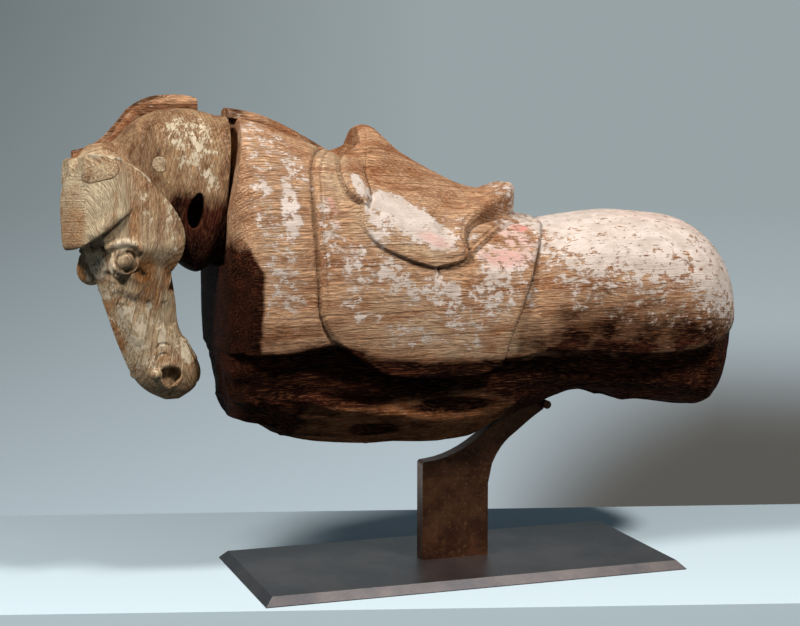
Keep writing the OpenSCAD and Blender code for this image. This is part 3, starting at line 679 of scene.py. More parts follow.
def carve_torso(c, furrow):
    """Cuts the grooves round cloth, pad and saddle, hews the underside and lets the
    weather wash out the furrows. Returns the growth rings."""
    plain = c.v
    x = c.v[:, 0]
    q = girth(c.v)
    h = np.zeros(len(x))
    for line, shape, height, back, width, reach, soft in GROOVES:
        h += height * shape(beyond(x, q, line) - back, width) * band(q, *reach, soft)
    h *= q < CLOTH_Q
    front, rear = beyond(x, q, cloth_front), beyond(x, q, cloth_rear)
    h -= 3.5 * blend(1.1 - rear / 30) * blend(rear / 2) * band(q, 0.5, 0.98, 0.2)
    c.push(h)
    x, y, z = c.v.T
    below = seat_z(x) + 3 * noise(c.v, (30, 30, 400), 13, 2) - z
    sides = blend((np.abs(y) - 25) / 30)
    under_cloth = 1 - band(q, 0, CLOTH_Q, 0.02) * (front > -2) * (rear < 2)
    h = -8.0 * hump(below - 15, 19) * band(x, -236, -64, 34) * sides * under_cloth
    h -= 6.5 * hump(below - 17, 22) * band(x, 95, 330, 30) * sides * under_cloth
    # the rump's lower corner is worn back
    h -= 4 * blend((x - 308) / 28) * blend((268 - z) / 40)
    # adze scoops along the lower flanks and belly
    facets = np.abs(noise(c.v + (0, 400, 0), (85, 34, 26), 11)) * 8 \
        + np.abs(noise(c.v + (0, 400, 0), (60, 14, 12), 12)) * 2.5
    scoop = blend((below - 2) / 10) * blend((RUMP_X - 12 - x) / 25) * under_cloth
    c.push(h - facets * scoop)
    c.refresh()
    # the same strokes on both sides, a little further back and lower on the right
    for lean, side in ((0, -1), (11, 1)):
        strokes = np.zeros(len(c.v))
        for points, width, height in HEWN:
            path = path_of([(px + lean, pz - lean / 3) for px, pz in points])
            d, place = near(path, width, c.v[:, [0, 2]], c.v[:, 1] * side > 0)
            strokes += height * hump(d, width) * ends(place)
        c.push(strokes)
        c.refresh()
    moved = c.v - plain
    far = np.linalg.norm(moved, axis=1, keepdims=True) + 1e-6
    c.v = plain + moved * np.tanh(far / DEEPEST) * DEEPEST / far
    c.refresh()
    ring = torso_rings_at(c.v)
    fur = noise(np.stack([ring, x / 60, 0 * x], -1), (5.5, 1, 1), 21, 2)
    c.push(furrow * fur * (1 - 0.5 * scoop) * (1 - 0.85 * blots(x, q, TORSO_PAINT[:3])))
    c.v = np.clip(c.v, *(1000 * np.array(corner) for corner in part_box("torso_log")))
    c.refresh()
    return ring


def torso_rings_at(v):
    """Growth rings round a pith that runs above the back, wandering a little."""
    x, y, z = v.T
    return np.hypot(y, 560 - z) + 5 * noise(v, (190, 60, 60), 3, 2) + 0.02 * x


HEWN = [
    # points along the log and up, half width, height (- is cut)
    ([(-233, 231), (-186, 218), (-155, 208), (-103, 201), (-46, 190), (23, 187)], 9, 4.0),
    ([(-190, 222), (-168, 219), (-137, 218), (-105, 216), (-80, 214)], 10, -5.5),
    ([(-66, 212), (-40, 207), (-10, 203), (20, 200)], 12, -6.5),
    ([(-140, 181), (-113, 179), (-88, 178)], 12, -6.0),
    ([(-262, 380), (-263, 340), (-263, 300), (-262, 275)], 5, 1.8),
    ([(-275, 380), (-276, 340), (-275, 290), (-270, 255)], 8, -4.0),
    ([(-268, 245), (-256, 228), (-240, 208)], 7, -4.5),
    ([(-280, 262), (-272, 236), (-258, 216)], 7, 3.0),
    ([(70, 236), (120, 230), (190, 222), (260, 220)], 9, 3.0),
    ([(120, 212), (190, 204), (250, 202)], 9, -3.5),
]


TORSO_PAINT = [
    # along the log, girth, half length, half girth, strength
    (195, 0.1, 150, 0.66, 0.9), (310, 0.5, 70, 0.42, 0.85), (338, 0.75, 34, 0.36, 0.8),
    (130, 0.66, 36, 0.16, 0.6), (215, 0.76, 66, 0.12, 0.55),
    (-90, 0.38, 46, 0.11, 1.0), (-56, 0.42, 34, 0.08, 0.9),
    (-122, 0.42, 16, 0.14, 0.8), (-20, 0.36, 26, 0.1, 0.45), (-140, 0.33, 9, 0.06, 0.9),
    (-221, 0.48, 13, 0.1, 0.85), (-252, 0.4, 15, 0.16, 0.5), (-240, 0.2, 30, 0.12, 0.5),
    (-212, 0.34, 22, 0.12, 0.54), (-232, 0.68, 26, 0.22, 0.5), (-250, 0.5, 12, 0.08, 0.5),
    (-178, 0.5, 14, 0.14, 0.6), (-150, 0.6, 26, 0.08, 0.56), (-112, 0.62, 30, 0.07, 0.6),
    (-88, 0.66, 16, 0.05, 0.6), (-155, 0.7, 14, 0.05, 0.6), (-140, 0.78, 20, 0.05, 0.6),
    (-50, 0.64, 36, 0.07, 0.62), (-30, 0.74, 44, 0.07, 0.55), (14, 0.64, 40, 0.1, 0.62),
    (-95, 0.85, 40, 0.07, 0.5), (-20, 0.86, 40, 0.06, 0.42), (55, 0.3, 26, 0.16, 0.72),
    (28, 0.48, 36, 0.1, 0.8), (60, 0.45, 18, 0.06, 0.62), (60, 0.62, 12, 0.12, 0.5)]
# The adze scoops on the belly, whose dark is kept there as painted shade.
SCOOPS = [  # along the log, up, half length, half height, strength
    (-137, 218, 40, 8, 1.0), (-20, 205, 44, 8, 1.0), (-113, 179, 24, 7, 1.0)]
TORSO_PINK = [(-165, 0.42, 12, 0.07, 1.0), (62, 0.25, 12, 0.04, 1.0), (30, 0.46, 30, 0.05, 0.6),
              (45, 0.36, 26, 0.09, 0.45), (260, 0.12, 70, 0.12, 0.12), (-55, 0.45, 18, 0.03, 0.4)]
TORSO_PALE = [(-60, 0.8, 130, 0.16, 0.8), (0, 0.92, 70, 0.06, 0.9), (-30, 0.3, 60, 0.24, 0.4),
              (-165, 0.2, 18, 0.26, 1.3), (-90, 0.45, 70, 0.15, 1.0), (-235, 0.4, 50, 0.3, 0.5)]


def paint_torso(c, ring):
    """Works out where the log is painted, stained, bleached and darker in hollows, with a painted
    shadow on the breast, painted shade behind the cloth and in the belly's scoops, and painted
    light on the belly.
    """
    x, _, z = c.v.T
    q = girth(c.v)
    below = seat_z(x) - z
    wander = 12 * noise(c.v, (45, 30, 30), 41, 3)
    stain = blend((below + 10 + wander) / 26)
    stain = np.maximum(stain, 0.8 * blend((q - 0.9 + wander / 300) / 0.12) * (x < 60))
    # behind_cloth: stain behind the cloth's rear edge, and painted shade in the recess there;
    # flank: darker towards the rump's lower flank.
    behind_cloth = blend((x - 38) / 14) * blend((q - 0.6) / 0.3) * blend((170 - x + wander) / 90)
    flank = 0.68 * blend((q - 0.5 + wander / 200) / 0.4) * blend((x - 40) / 60)
    # breast: painted shadow of the head and neck on the front of the chest; it goes into the dark
    # stain and into the darkened hollows.
    breast = blend((CHEST_X + 24 + 16 * blend((410 - z) / 50) - x + wander / 2) / 12)
    stain = np.maximum.reduce([stain, 0.55 * behind_cloth, 0.4 * flank,
                               0.9 * breast * blend((430 - z) / 60)])
    stain = np.maximum(stain, 0.4 * blend((q - 0.66) / 0.2) * blend((-205 - x) / 30))
    # belly: painted light, the bare belly made lighter and orange where it catches light from
    # below; the adze scoops keep their dark as painted shade.
    belly = blend((236 + wander - z) / 26) * blend((x + 235) / 60) * blend((90 - x) / 60)
    stain = stain * (1 - 0.5 * belly * (1 - blots(x, z, SCOOPS)))
    wave = 5 * noise(c.v, (45, 28, 28), 71, 2)
    fibre = c.v + np.stack([0 * x, wave, wave], -1)
    shade = 0.26 * blend((-170 - x) / 30) * blend((0.5 - q) / 0.3)
    give(c.obj, fibre, ring=ring, rust=belly, pink=blots(x, q, TORSO_PINK),
         paint=blots(x, q, TORSO_PAINT) * (1 - 0.8 * stain) - 0.5 * stain,
         stain=np.maximum.reduce([stain, shade, flank]), pale=blots(x, q, TORSO_PALE),
         hollow=np.maximum(c.hollows(), 0.8 * breast * blend((400 - z) / 60)))


WOOD_FIELDS = ("ring", "paint", "stain", "pink", "hollow", "pale", "rust")


def give(obj, fibre, **fields):
    """Stores what the wood's material reads: growth rings and fibre in millimetres, and where
    paint, dark stained wood with painted shade, pink, darkened hollows, bleached and rusty wood and
    painted light lie."""
    for name in WOOD_FIELDS:
        values = np.broadcast_to(fields.get(name, 0.0), len(obj.data.vertices))
        obj.data.attributes.new(name, "FLOAT", "POINT").data.foreach_set(
            "value", values.astype(np.float32))
    obj.data.attributes.new("fibre", "FLOAT_VECTOR", "POINT").data.foreach_set(
        "vector", np.asarray(fibre, np.float32).ravel())


def build_torso(size, furrow):
    log = loft(torso_rings(), "torso_carving")
    sheets = ((CLOTH_Q, 150, 170, cloth_front, cloth_rear,
               lambda t, q: CLOTH_T * rim(t, 0.03), 3 * SINK),
              (PAD_Q, 90, 60, pad_front, pad_rear, lambda t, q: PAD_T * rim(t, 0.1), SINK),
              (FLAP_Q, 140, 160, flap_front, flap_rear, flap_proud, SINK),
              (LOBE_Q, 120, 50, lobe_front, lobe_rear, lobe_proud, SINK))
    combine(log, [loft(relief(*sheet)) for sheet in sheets], "UNION")
    combine(log, [joint_block(12, -1)], "DIFFERENCE")
    c = carving(log, size, 2)
    paint_torso(c, carve_torso(c, furrow))
    combine(log, [node_copy(node, SLACK) for node in (
        "neck_tenon", "neck_plug", "withers_strip", "support_pins")], "DIFFERENCE")
    smooth_shaded(log)
    return log


def smooth_shaded(obj):
    obj.data.polygons.foreach_set("use_smooth", np.ones(len(obj.data.polygons), bool))


CHEEK_RIM = [(62, 18), (49, 16), (33, 11), (17, 1), (3, -12), (-10, -27), (-21, -43), (-29, -60),
             (-33, -78), (-32, -97), (-26, -112), (-20, -124)]
FORELOCK_HEM = [(88, -87), (80, -82), (72, -77), (61, -68), (46, -56), (32, -45)]
FACE_CUTS = [
    # points forward of and above the pivot, half width, height (- is cut), kind
    ([(70, -72), (60, -63), (48, -53), (36, -43)], 9.0, 3.0, hump),
    ([(60, -92), (54, -84), (46, -79), (38, -77), (29, -78), (22, -83), (17, -92)], 6.5, 4.0, hump),
    ([(49, -105), (43, -112), (34, -114), (26, -111), (20, -105)], 4.0, -2.5, hump),
    ([(41, -89), (34, -87), (27, -91), (25, -98), (28, -105), (35, -107.5), (42, -105),
      (45, -98), (43, -92)], 2.4, -2.6, hump),
    ([(22, -106), (17, -112), (11, -116)], 7.0, -3.0, hump),
    ([(38, -120), (28, -127), (16, -134)], 10.0, 3.0, hump),
    ([(14, -122), (8, -132), (3, -146), (-4, -162), (-15, -182), (-26, -200), (-31, -216),
      (-27, -232), (-18, -243)], 4.5, 1.3, hump),
    ([(9, -138), (2, -154), (-8, -172)], 9.0, -2.0, hump),
    ([(36, -130), (28, -150), (20, -172), (12, -190)], 9.0, 1.5, hump),
    ([(-12, -140), (-17, -155), (-24, -172)], 9.0, -2.5, hump),
    ([(-38, -182), (-45, -196), (-52, -212)], 8.0, 2.5, hump),
    ([(-1, -196), (-3, -191), (-9, -188), (-16, -190), (-19, -195)], 1.5, -1.6, notch),
    ([(-2, -209), (-3, -203), (-8, -199), (-14, -200), (-17, -205)], 1.7, -2.0, notch),
    ([(-6, -213), (-14, -211), (-24, -213)], 4.0, 1.6, hump),
    ([(-24, -252), (-21, -244), (-24, -236)], 3.0, -2.0, hump),
]


def both(make):
    """The piece on the head's left and its mirror image on the right."""
    return [make(-1), make(1)]


def brow_lump(side):
    return ball((39 + 3 * side, side * 34, -101), (15 + 2 * side, 14, 17 + 2 * side))


def ear_root(side):
    return ball((47, side * 34, 3), (12, 10, 10))


def ring_round(centre, axis, radius, tube, count=48):
    """A ring about an axis, in the head's own coordinates."""
    axis = np.array(axis, float) / np.linalg.norm(axis)
    e1 = np.cross(axis, (0, 0, 1))
    e1 /= np.linalg.norm(e1)
    e2 = np.cross(axis, e1)
    a = np.linspace(0, 2 * np.pi, count, endpoint=False)
    b = np.linspace(0, 2 * np.pi, 16, endpoint=False)
    rings = []
    for ang in a:
        out = math.cos(ang) * e1 + math.sin(ang) * e2
        rings.append(np.array(centre) + (radius + tube * np.cos(b))[:, None] * out
                     + (tube * np.sin(b))[:, None] * axis)
    rings = np.array(rings)
    n, m = rings.shape[:2]
    i, j = np.meshgrid(np.arange(n), np.arange(m), indexing="ij")
    i2, j2 = (i + 1) % n, (j + 1) % m
    quads = np.stack([i * m + j, i * m + j2, i2 * m + j2, i2 * m + j], -1).reshape(-1, 4)
    tri = np.concatenate([quads[:, :3], quads[:, [0, 2, 3]]])
    return outward(head_place(rings.reshape(-1, 3)), tri, "ring")


EYE = (35, -97.5)


def eye_ball(side):
    return ball((EYE[0], side * 48.5, EYE[1]), (8.2, 8, 8.2))


def eye_lid(side):
    return ring_round((35.5, side * 44.5, -97), (0.3, side * 0.95, 0.12), 12.6, 2.4)


def nostril_flare(side):
    return ball((-1, side * 27, -221), (7, 7.5, 6))


def nostril_hole(side):
    o = closed_curve([(-6, -218), (-17, -215), (-28, -217), (-30, -226), (-19, -236),
                      (-10, -230)], 40)
    rings = [np.array([(u, side * y, z) for u, z in o], float) for y in (17, 40)]
    return loft(head_place(np.array(rings)))


def mouth_slit():
    o = [(-39.5, -187), (-50, -214), (-53, -240), (-60, -241), (-53, -214), (-40.5, -187)]
    rings = [np.array([(u, y, z) for u, z in o], float) for y in (-42, 42)]
    return loft(head_place(np.array(rings)))


def neck_hole():
    o = np.linspace(0, 2 * np.pi, 48, endpoint=False)
    z = JOINT_FOOT + 0.365 * NECK_H + (19 + 3 * np.cos(o)) * np.sin(o)
    x = JOINT_X - 33 + 8.5 * np.cos(o) + 0.12 * (z - JOINT_FOOT - 60)
    depth = neck_half(31) + 6
    return loft([np.stack([x, np.full(48, -y), z], -1) for y in (depth, depth - 30)])


def carve_head(c):
    """Cuts the neck back behind the cheek's rim, undercuts the forelock's hem and carves
    the face. Returns the points in the head's own coordinates."""
    p = head_local(c.v)
    u, y, z = p.T

    def spread(field, height):
        """Moves both sides of the head outward by the field times the height."""
        c.v = c.v + (np.sign(y) * field * height)[:, None] * TURN[:, 1]

    behind = -c.aside(CHEEK_RIM, 30, (np.abs(y) > 20) & (z < 24))
    low = blend((z + 128) / 30)
    shelf = np.where(np.abs(behind) < 30, blend(1 - behind / 28) * (behind > 0), 0) \
        * low * blend((-2 - z) / 26)
    spread(c.soften(shelf, 2), -4)
    spread(c.soften(hump(behind - 1.5, 3.5) * low, 1), 2)
    c.refresh()
    below = c.aside(FORELOCK_HEM, 36, (np.abs(y) > 14) & (z < -38))
    inside = (below > 0) & (below < 36) & (u > 20)
    recess = np.where(inside, blend(below / 2.5) * blend(1.2 - below / 32), 0) \
        * blend((u - 24) / 16)
    spread(c.soften(recess, 1), -7)
    c.refresh()
    side_view = p[:, [0, 2]]
    facing = (np.abs(y) > 12) & (np.abs(c.n @ TURN)[:, 1] > 0.25)
    for points, width, height, kind in FACE_CUTS:
        d, place = near(path_of(points), width, side_view, facing)
        c.push(height * kind(d, width) * ends(place))
    c.refresh()
    c.smooth(1)
    return p


HEAD_PAINT = [
    # forward of the pivot, above it, half length, half height, strength
    (42, -128, 9, 12, 0.6), (28, -150, 10, 22, 0.68), (16, -178, 10, 24, 0.72),
    (4, -150, 6, 20, 0.6), (-8, -176, 6, 26, 0.75), (-38, -196, 9, 18, 0.8),
    (52, -104, 7, 16, 0.7), (36, -78, 12, 7, 0.75), (-18, -60, 9, 40, 0.5), (10, -40, 12, 26, 0.4),
    (6, -206, 12, 14, 0.55), (-30, -180, 12, 40, 0.5), (30, -96, 9, 26, 0.3)]
HEAD_RUST = [(64, -112, 12, 16, 1.5), (56, -130, 10, 16, 1.5), (48, -150, 9, 16, 1.5),
             (40, -172, 8, 18, 1.5), (32, -192, 7, 14, 1.2), (12, -108, 14, 16, 1.0),
             (4, -134, 12, 22, 0.8), (70, -100, 12, 22, 1.0), (-22, -112, 14, 18, 0.7),
             (26, -64, 6, 30, 0.5), (-9, -202, 8, 7, 0.5), (80, -60, 8, 30, 0.6)]
HEAD_PALE = [(70, -40, 40, 60, 1.5), (20, -150, 60, 90, 0.8)]
NECK_PAINT = [(-330, 516, 20, 20, 0.58), (-310, 506, 20, 30, 0.62), (-300, 464, 12, 20, 0.68),
              (-315, 470, 16, 12, 0.5), (-352, 462, 14, 18, 0.4), (-318, 486, 28, 12, 0.5)]


def paint_head(c, p):
    """Works out where the head and neck are painted, stained, bleached and darker in hollows, with
    painted shade on the lower neck under the cheek and in the grooves round the eyes.
    """
    x, _, z = c.v.T
    u, y, h = p.T
    on_side = (np.abs(y) > 20) & (h < 24)
    rim_line = near(path_of(CHEEK_RIM), 6, p[:, [0, 2]], on_side)[0]
    bare = blots(u, h, [(35, -98, 9, 9, 1), (56, -140, 5, 40, 0.8)])
    left = np.maximum(blots(u, h, HEAD_PAINT) * (1 - bare), 0.8 * hump(rim_line, 3))
    behind = -c.aside(CHEEK_RIM, 30, on_side)
    cheek_side = c.soften(((behind < 0) & (behind > -30)).astype(float), 1)
    on_neck = blend((x + 380 + 0.5 * (z - 470)) / 34) * blend((z - 380) / 20) * (1 - cheek_side)
    paint = np.maximum(left * (1 - on_neck), blots(x, z, NECK_PAINT) * on_neck)
    # low_neck: painted shade, the lower neck darkened under the cheek and jaw.
    low_neck = blend((478 + 20 * noise(c.v, (30, 30, 30), 61, 2) - z) / 60) \
        * blend((x + 368) / 34) * blend((z - 338) / 10) * (1 - cheek_side)
    jaw = 0.3 * blend((-22 - u) / 12) * blend((-96 - h) / 14) * blend((h + 190) / 20)
    eye = 0.5 * blots(u, h, [(35, -98, 8, 8, 1)])
    stain = np.maximum.reduce([low_neck, jaw, eye])
    bend = np.clip((u - 30) / 40, 0, 1) * blend((h + 84) / 6)
    ring_cheek = np.hypot(u + 30, y * 0.8) + 0.05 * h
    ring_lock = 2 * np.hypot(np.hypot(u - 30, y) * 0.9, h - 34)
    ring_neck = z * 0.25 + x
    ring = ring_cheek + (ring_lock - ring_cheek) * bend
    ring = ring + (ring_neck - ring) * on_neck + 4 * noise(c.v, (60, 60, 120), 5, 2)
    slant = c.v @ np.array([[0.25, 0, 1], [0, 1, 0], [1, 0, -0.25]]).T
    arc = np.stack([60 * np.arctan2(u - 30, 34 - h), ring_lock / 2, y], -1)
    arc += (slant - arc)[(bend > 0.3) & (bend < 0.7)].mean(0)
    fibre = slant + (arc - slant) * bend[:, None]
    # Darker in grooves and hollows, and a ring of painted shade in the groove round each eyeball.
    hollow_and_eye_shade = np.maximum(c.hollows() * (1 - 0.7 * blots(u, h, [(40, -150, 34, 50, 1)])),
                      0.9 * hump(np.hypot(u - EYE[0], h - EYE[1]) - 9.8, 2.2) * (np.abs(y) > 30))
    neck_dark = 0.36 * on_neck * (1 - blots(x, z, NECK_PAINT))
    give(c.obj, fibre, ring=ring, hollow=hollow_and_eye_shade, paint=paint * (1 - stain) - 0.5 * stain,
         stain=np.maximum(stain, neck_dark), rust=blots(u, h, HEAD_RUST) * (1 - on_neck),
         pale=blots(u, h, HEAD_PALE))


def build_head(size, peg_size):
    obj = loft(neck_rings(), "head_carving")
    combine(obj, [loft(head_rings()), loft(forelock_rings()), *both(cheek), *both(brow_lump),
                  *both(eye_lid), *both(eye_ball), *both(nostril_flare), *both(ear_root)], "UNION")
    combine(obj, [joint_block(5, 1), *both(nostril_hole), neck_hole()], "DIFFERENCE")
    c = carving(obj, size, 3)
    p = carve_head(c)
    for node, proud in (("neck_plug", 0.2), ("ear_tenon_left", 0.8), ("ear_tenon_right", 0.8)):
        skin_copy = obj.copy()
        skin_copy.data = obj.data.copy()
        bpy.context.collection.objects.link(skin_copy)
        set_vertices(skin_copy, c.v + c.n * proud)
        peg = combine(node_copy(node), [skin_copy], "INTERSECT")
        peg.name = node + "_cut"
        finish_peg(peg, peg_size)
    cutters = [node_copy(n, PEG_SLACK)
               for n in ("neck_plug", "ear_tenon_left", "ear_tenon_right")]
    cutters += [node_copy(n, SLACK) for n in ("neck_tenon", "mane_crest")]
    paint_head(c, p)
    combine(obj, [mouth_slit()] + cutters, "DIFFERENCE")
    smooth_shaded(obj)
    return obj


def finish_peg(obj, size):
    c = carving(obj, size, 2)
    c.push(0.25 * noise(c.v, (8, 8, 20), 8, 2))
    c.refresh()
    give(obj, c.v[:, [1, 0, 2]], ring=c.v[:, 1] + 0.3 * c.v[:, 0], paint=0.35, pale=0.7)
    smooth_shaded(obj)


def build_copy(node, size, name, shape=None):
    """A weathered copy of a wooden CAD node."""
    obj = node_copy(node)
    obj.name = name
    plain = vertices_of(obj)
    c = carving(obj, size, 3)
    if shape:
        shape(c)
        c.refresh()
    c.push(0.5 * noise(c.v, (30, 6, 6), 8, 2) - 0.3)
    c.v = np.clip(c.v, plain.min(0), plain.max(0))
    c.refresh()
    give(obj, c.v, ring=np.hypot(c.v[:, 1], c.v[:, 2] - 300), paint=0.12, hollow=c.hollows(),
         stain=0.42 + 0.3 * noise(c.v, (26, 12, 12), 31, 2))
    smooth_shaded(obj)
    return obj


def lower_near_ridge(c):
    """The crest's left ridge is worn lower than its right one, so its slot shows."""
    top = neck_top(JOINT_X - c.v[:, 0])
    rise = np.clip((c.v[:, 2] - top) / 12, 0, 1)
    ahead = blend((JOINT_X - c.v[:, 0] - 46) / 16)
    c.v[:, 2] -= 4 * rise * ahead * blend((0.5 - c.v[:, 1]) / 2)


# --------------------------------------------------------------- materials


def hex_colour(text):
    """An sRGB hex colour as linear RGBA."""
    parts = [int(text[i:i + 2], 16) / 255 for i in (0, 2, 4)]
    return [p / 12.92 if p <= 0.04045 else ((p + 0.055) / 1.055) ** 2.4 for p in parts] + [1]


def put(tree, kind, inputs=(), out=0, **settings):
    """Adds one shader node with its settings and links, and hands back one of its outputs."""
    node = tree.nodes.new("ShaderNode" + kind)
    for key, value in settings.items():
        setattr(node, key, value)
    for key, value in inputs.items() if isinstance(inputs, dict) else enumerate(inputs):
        if isinstance(value, bpy.types.NodeSocket):
            tree.links.new(value, node.inputs[key])
        else:
            node.inputs[key].default_value = value
    return node.outputs[out]


def material(name, shader_values):
    made = bpy.data.materials.new(name)
    made.use_nodes = True
    shader = made.node_tree.nodes["Principled BSDF"]
    for key, value in shader_values.items():
        shader.inputs[key].default_value = value
    return made, made.node_tree, shader.inputs


def aged_wood(name, colours):
    """Old riven poplar, bare where the chalk paint has flaked: ridged along its fibre, dry
    and without any gloss, lighter on the ridges and dark in the furrows."""
    made, tree, sockets = material(name, {"Specular IOR Level": 0.05})
    tone = {key: (*getattr(colours, key), 1) for key in (
        "chalk", "grey", "pink", "edge", "stain", "soot_and_shade", "tan", "brown", "pale", "rust", "furrow")}
    field = {key: put(tree, "Attribute", attribute_name=key, out=2) for key in WOOD_FIELDS}
    fibre = put(tree, "Attribute", attribute_name="fibre", out=1)
    cloud = {}
    for key, (long, across, detail, roughness) in {
            "fine": (15, 1.5, 5, 0.68), "broad": (80, 16, 4, 0.5), "flakes": (11, 8, 9, 0.74),
            "blotch": (30, 17, 4, 0.6), "grit": (6, 1.8, 6, 0.75)}.items():
        place = put(tree, "VectorMath", (fibre, (1 / long, 1 / across, 1 / across)),
                    operation="MULTIPLY")
        cloud[key] = put(tree, "TexNoise", {"Vector": place, "Scale": 1, "Detail": detail,
                                            "Roughness": roughness})
    turns = put(tree, "Math", (field["ring"], 1 / 2.2), operation="MULTIPLY")
    turns = put(tree, "Math", (cloud["broad"], 2.5, turns), operation="MULTIPLY_ADD")
    waves = put(tree, "TexNoise", {"W": turns, "Scale": 1, "Detail": 2.5}, noise_dimensions="1D")
    coarse = put(tree, "MapRange", (waves, 0.34, 0.56, 0, 0.4))
    hair = put(tree, "MapRange", (cloud["fine"], 0.4, 0.56, 0, 0.6))
    ridge = put(tree, "Math", (coarse, hair))
    furrow = put(tree, "Math", (1, ridge), operation="SUBTRACT")
    spots = put(tree, "Math", (cloud["blotch"], 0.5), operation="SUBTRACT")
    # The dark look goes where the wood is stained, and where shade is painted: on the breast, on
    # the lower neck and behind the cloth.
    darkened = put(tree, "Math", (spots, 0.7, field["stain"]), operation="MULTIPLY_ADD")
    cover = put(tree, "Math", (spots, 0.6, field["paint"]), operation="MULTIPLY_ADD")
    cover = put(tree, "Math", (cloud["flakes"], 2.8, cover), operation="MULTIPLY_ADD")
    cover = put(tree, "Math", (cloud["grit"], 0.4, cover), operation="MULTIPLY_ADD")
    cover = put(tree, "Math", (ridge, 0.2, cover), operation="MULTIPLY_ADD")
    thin, thick = (put(tree, "MapRange", (cover, low + 1.86, high + 1.86, 0, most))
                   for low, high, most in ((0.16, 0.5, 0.5), (0.44, 0.56, 0.92)))
    bleached = put(tree, "MapRange", (cloud["blotch"], 0.3, 0.6))
    bleached = put(tree, "Math", (field["pale"], bleached), operation="MULTIPLY")
    blushed = put(tree, "MapRange", (cloud["flakes"], 0.35, 0.55))
    blushed = put(tree, "Math", (field["pink"], blushed), operation="MULTIPLY")
    looks = {}
    for key, layers in {
            "bare": (("brown", put(tree, "MapRange", (cloud["broad"], 0.41, 0.58)), "tan"),
                     (None, bleached, "pale"), (None, field["rust"], "rust"),
                     (None, put(tree, "MapRange", (cloud["grit"], 0.45, 0.7, 0, 0.6)), "pale"),
                     (None, put(tree, "Math", (furrow, 0.74), operation="MULTIPLY"), "furrow")),
            "dark": (("soot_and_shade", put(tree, "MapRange", (cloud["broad"], 0.42, 0.68)), "stain"),
                     (None, put(tree, "MapRange", (cloud["fine"], 0.5, 0.72, 0, 0.5)), "brown"),
                     (None, put(tree, "Math", (furrow, 0.8), operation="MULTIPLY"), "soot_and_shade")),
            "chalk": (("chalk", put(tree, "MapRange", (cloud["blotch"], 0.35, 0.65)), "grey"),
                      (None, blushed, "pink"))}.items():
        for under, amount, over in layers:
            looks[key] = put(tree, "Mix", {0: amount, 6: tone[under] if under else looks[key],
                                           7: tone[over]}, data_type="RGBA", out=2)
    colour = looks["bare"]
    # Hollows darken towards soot; they also carry the painted shadow on the breast and the painted
    # shade round the eyes.
    for amount, over in ((put(tree, "MapRange", (darkened, 0.3, 0.7)), looks["dark"]),
                         (thin, tone["edge"]), (thick, looks["chalk"]),
                         (put(tree, "MapRange", (field["hollow"], 0.15, 1, 0, 0.66)),
                          tone["soot_and_shade"])):
        colour = put(tree, "Mix", {0: amount, 6: colour, 7: over}, data_type="RGBA", out=2)
    tree.links.new(colour, sockets["Base Color"])
    tree.links.new(put(tree, "MapRange", (ridge, 0, 1, 0.95, 0.8)), sockets["Roughness"])
    bared = put(tree, "Math", (thick, -0.75, 1), operation="MULTIPLY_ADD")
    height = put(tree, "Math", (ridge, bared), operation="MULTIPLY")
    height = put(tree, "Math", (thick, 0.6, height), operation="MULTIPLY_ADD")
    tree.links.new(put(tree, "Bump", {"Height": height, "Distance": 0.001, "Strength": 1}),
                   sockets["Normal"])
    return made


def patinated_steel(name, dark, light, speck, share, size):
    """Mild steel plate, ground and browned with a cold patina: dark, satin, mottled."""
    made, tree, sockets = material(name, {"Metallic": 0.85})
    place = put(tree, "TexCoord", out=3)
    cloud = put(tree, "TexNoise", {"Vector": place, "Scale": 1 / size, "Detail": 6,
                                   "Roughness": 0.7})
    fleck = put(tree, "TexNoise", {"Vector": place, "Scale": 1 / 0.004, "Detail": 4,
                                   "Roughness": 0.8})
    colour = put(tree, "Mix", {0: put(tree, "MapRange", (cloud, 0.4, 0.65)),
                               6: (*dark, 1), 7: (*light, 1)}, data_type="RGBA", out=2)
    colour = put(tree, "Mix", {0: put(tree, "MapRange", (fleck, 0.56, 0.68, 0, share)),
                               6: colour, 7: (*speck, 1)}, data_type="RGBA", out=2)
    tree.links.new(colour, sockets["Base Color"])
    tree.links.new(put(tree, "MapRange", (fleck, 0, 1, 0.34, 0.52)), sockets["Roughness"])
    tree.links.new(put(tree, "Bump", {"Height": fleck, "Distance": 0.0002, "Strength": 0.35}),
                   sockets["Normal"])
    return made


def turned_steel(name, colour):
    """Bright mild steel, turned on a lathe: fine rings of tool marks and a grey shine."""
    made, tree, sockets = material(name, {"Metallic": 1, "Base Color": (*colour, 1)})
    marks = put(tree, "TexWave", {"Vector": put(tree, "TexCoord", out=3), "Scale": 200,
                                  "Distortion": 0.6}, out=1, wave_type="RINGS",
                rings_direction="Z")
    tree.links.new(put(tree, "MapRange", (marks, 0, 1, 0.28, 0.42)), sockets["Roughness"])
    tree.links.new(put(tree, "Bump", {"Height": marks, "Distance": 0.00004, "Strength": 0.5}),
                   sockets["Normal"])
    return made


def wool_felt(name, dark, light):
    """Pressed wool felt: matt, dark and hairy, with a soft sheen at its edges."""
    made, tree, sockets = material(name, {"Roughness": 0.95, "Sheen Weight": 0.3,
                                          "Sheen Roughness": 0.6})
    hair = put(tree, "TexNoise", {"Vector": put(tree, "TexCoord", out=3), "Scale": 1 / 0.0015,
                                  "Detail": 5, "Roughness": 0.75})
    tree.links.new(put(tree, "Mix", {0: hair, 6: (*dark, 1), 7: (*light, 1)},
                       data_type="RGBA", out=2), sockets["Base Color"])
    tree.links.new(put(tree, "Bump", {"Height": hair, "Distance": 0.0005, "Strength": 0.8}),
                   sockets["Normal"])
    return made


def dress(obj, made, node):
    """Gives a piece its material and body, and hides the CAD node that it stands for."""
    obj.data.materials.clear()
    obj.data.materials.append(made)
    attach(obj, BODY)
    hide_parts(node)


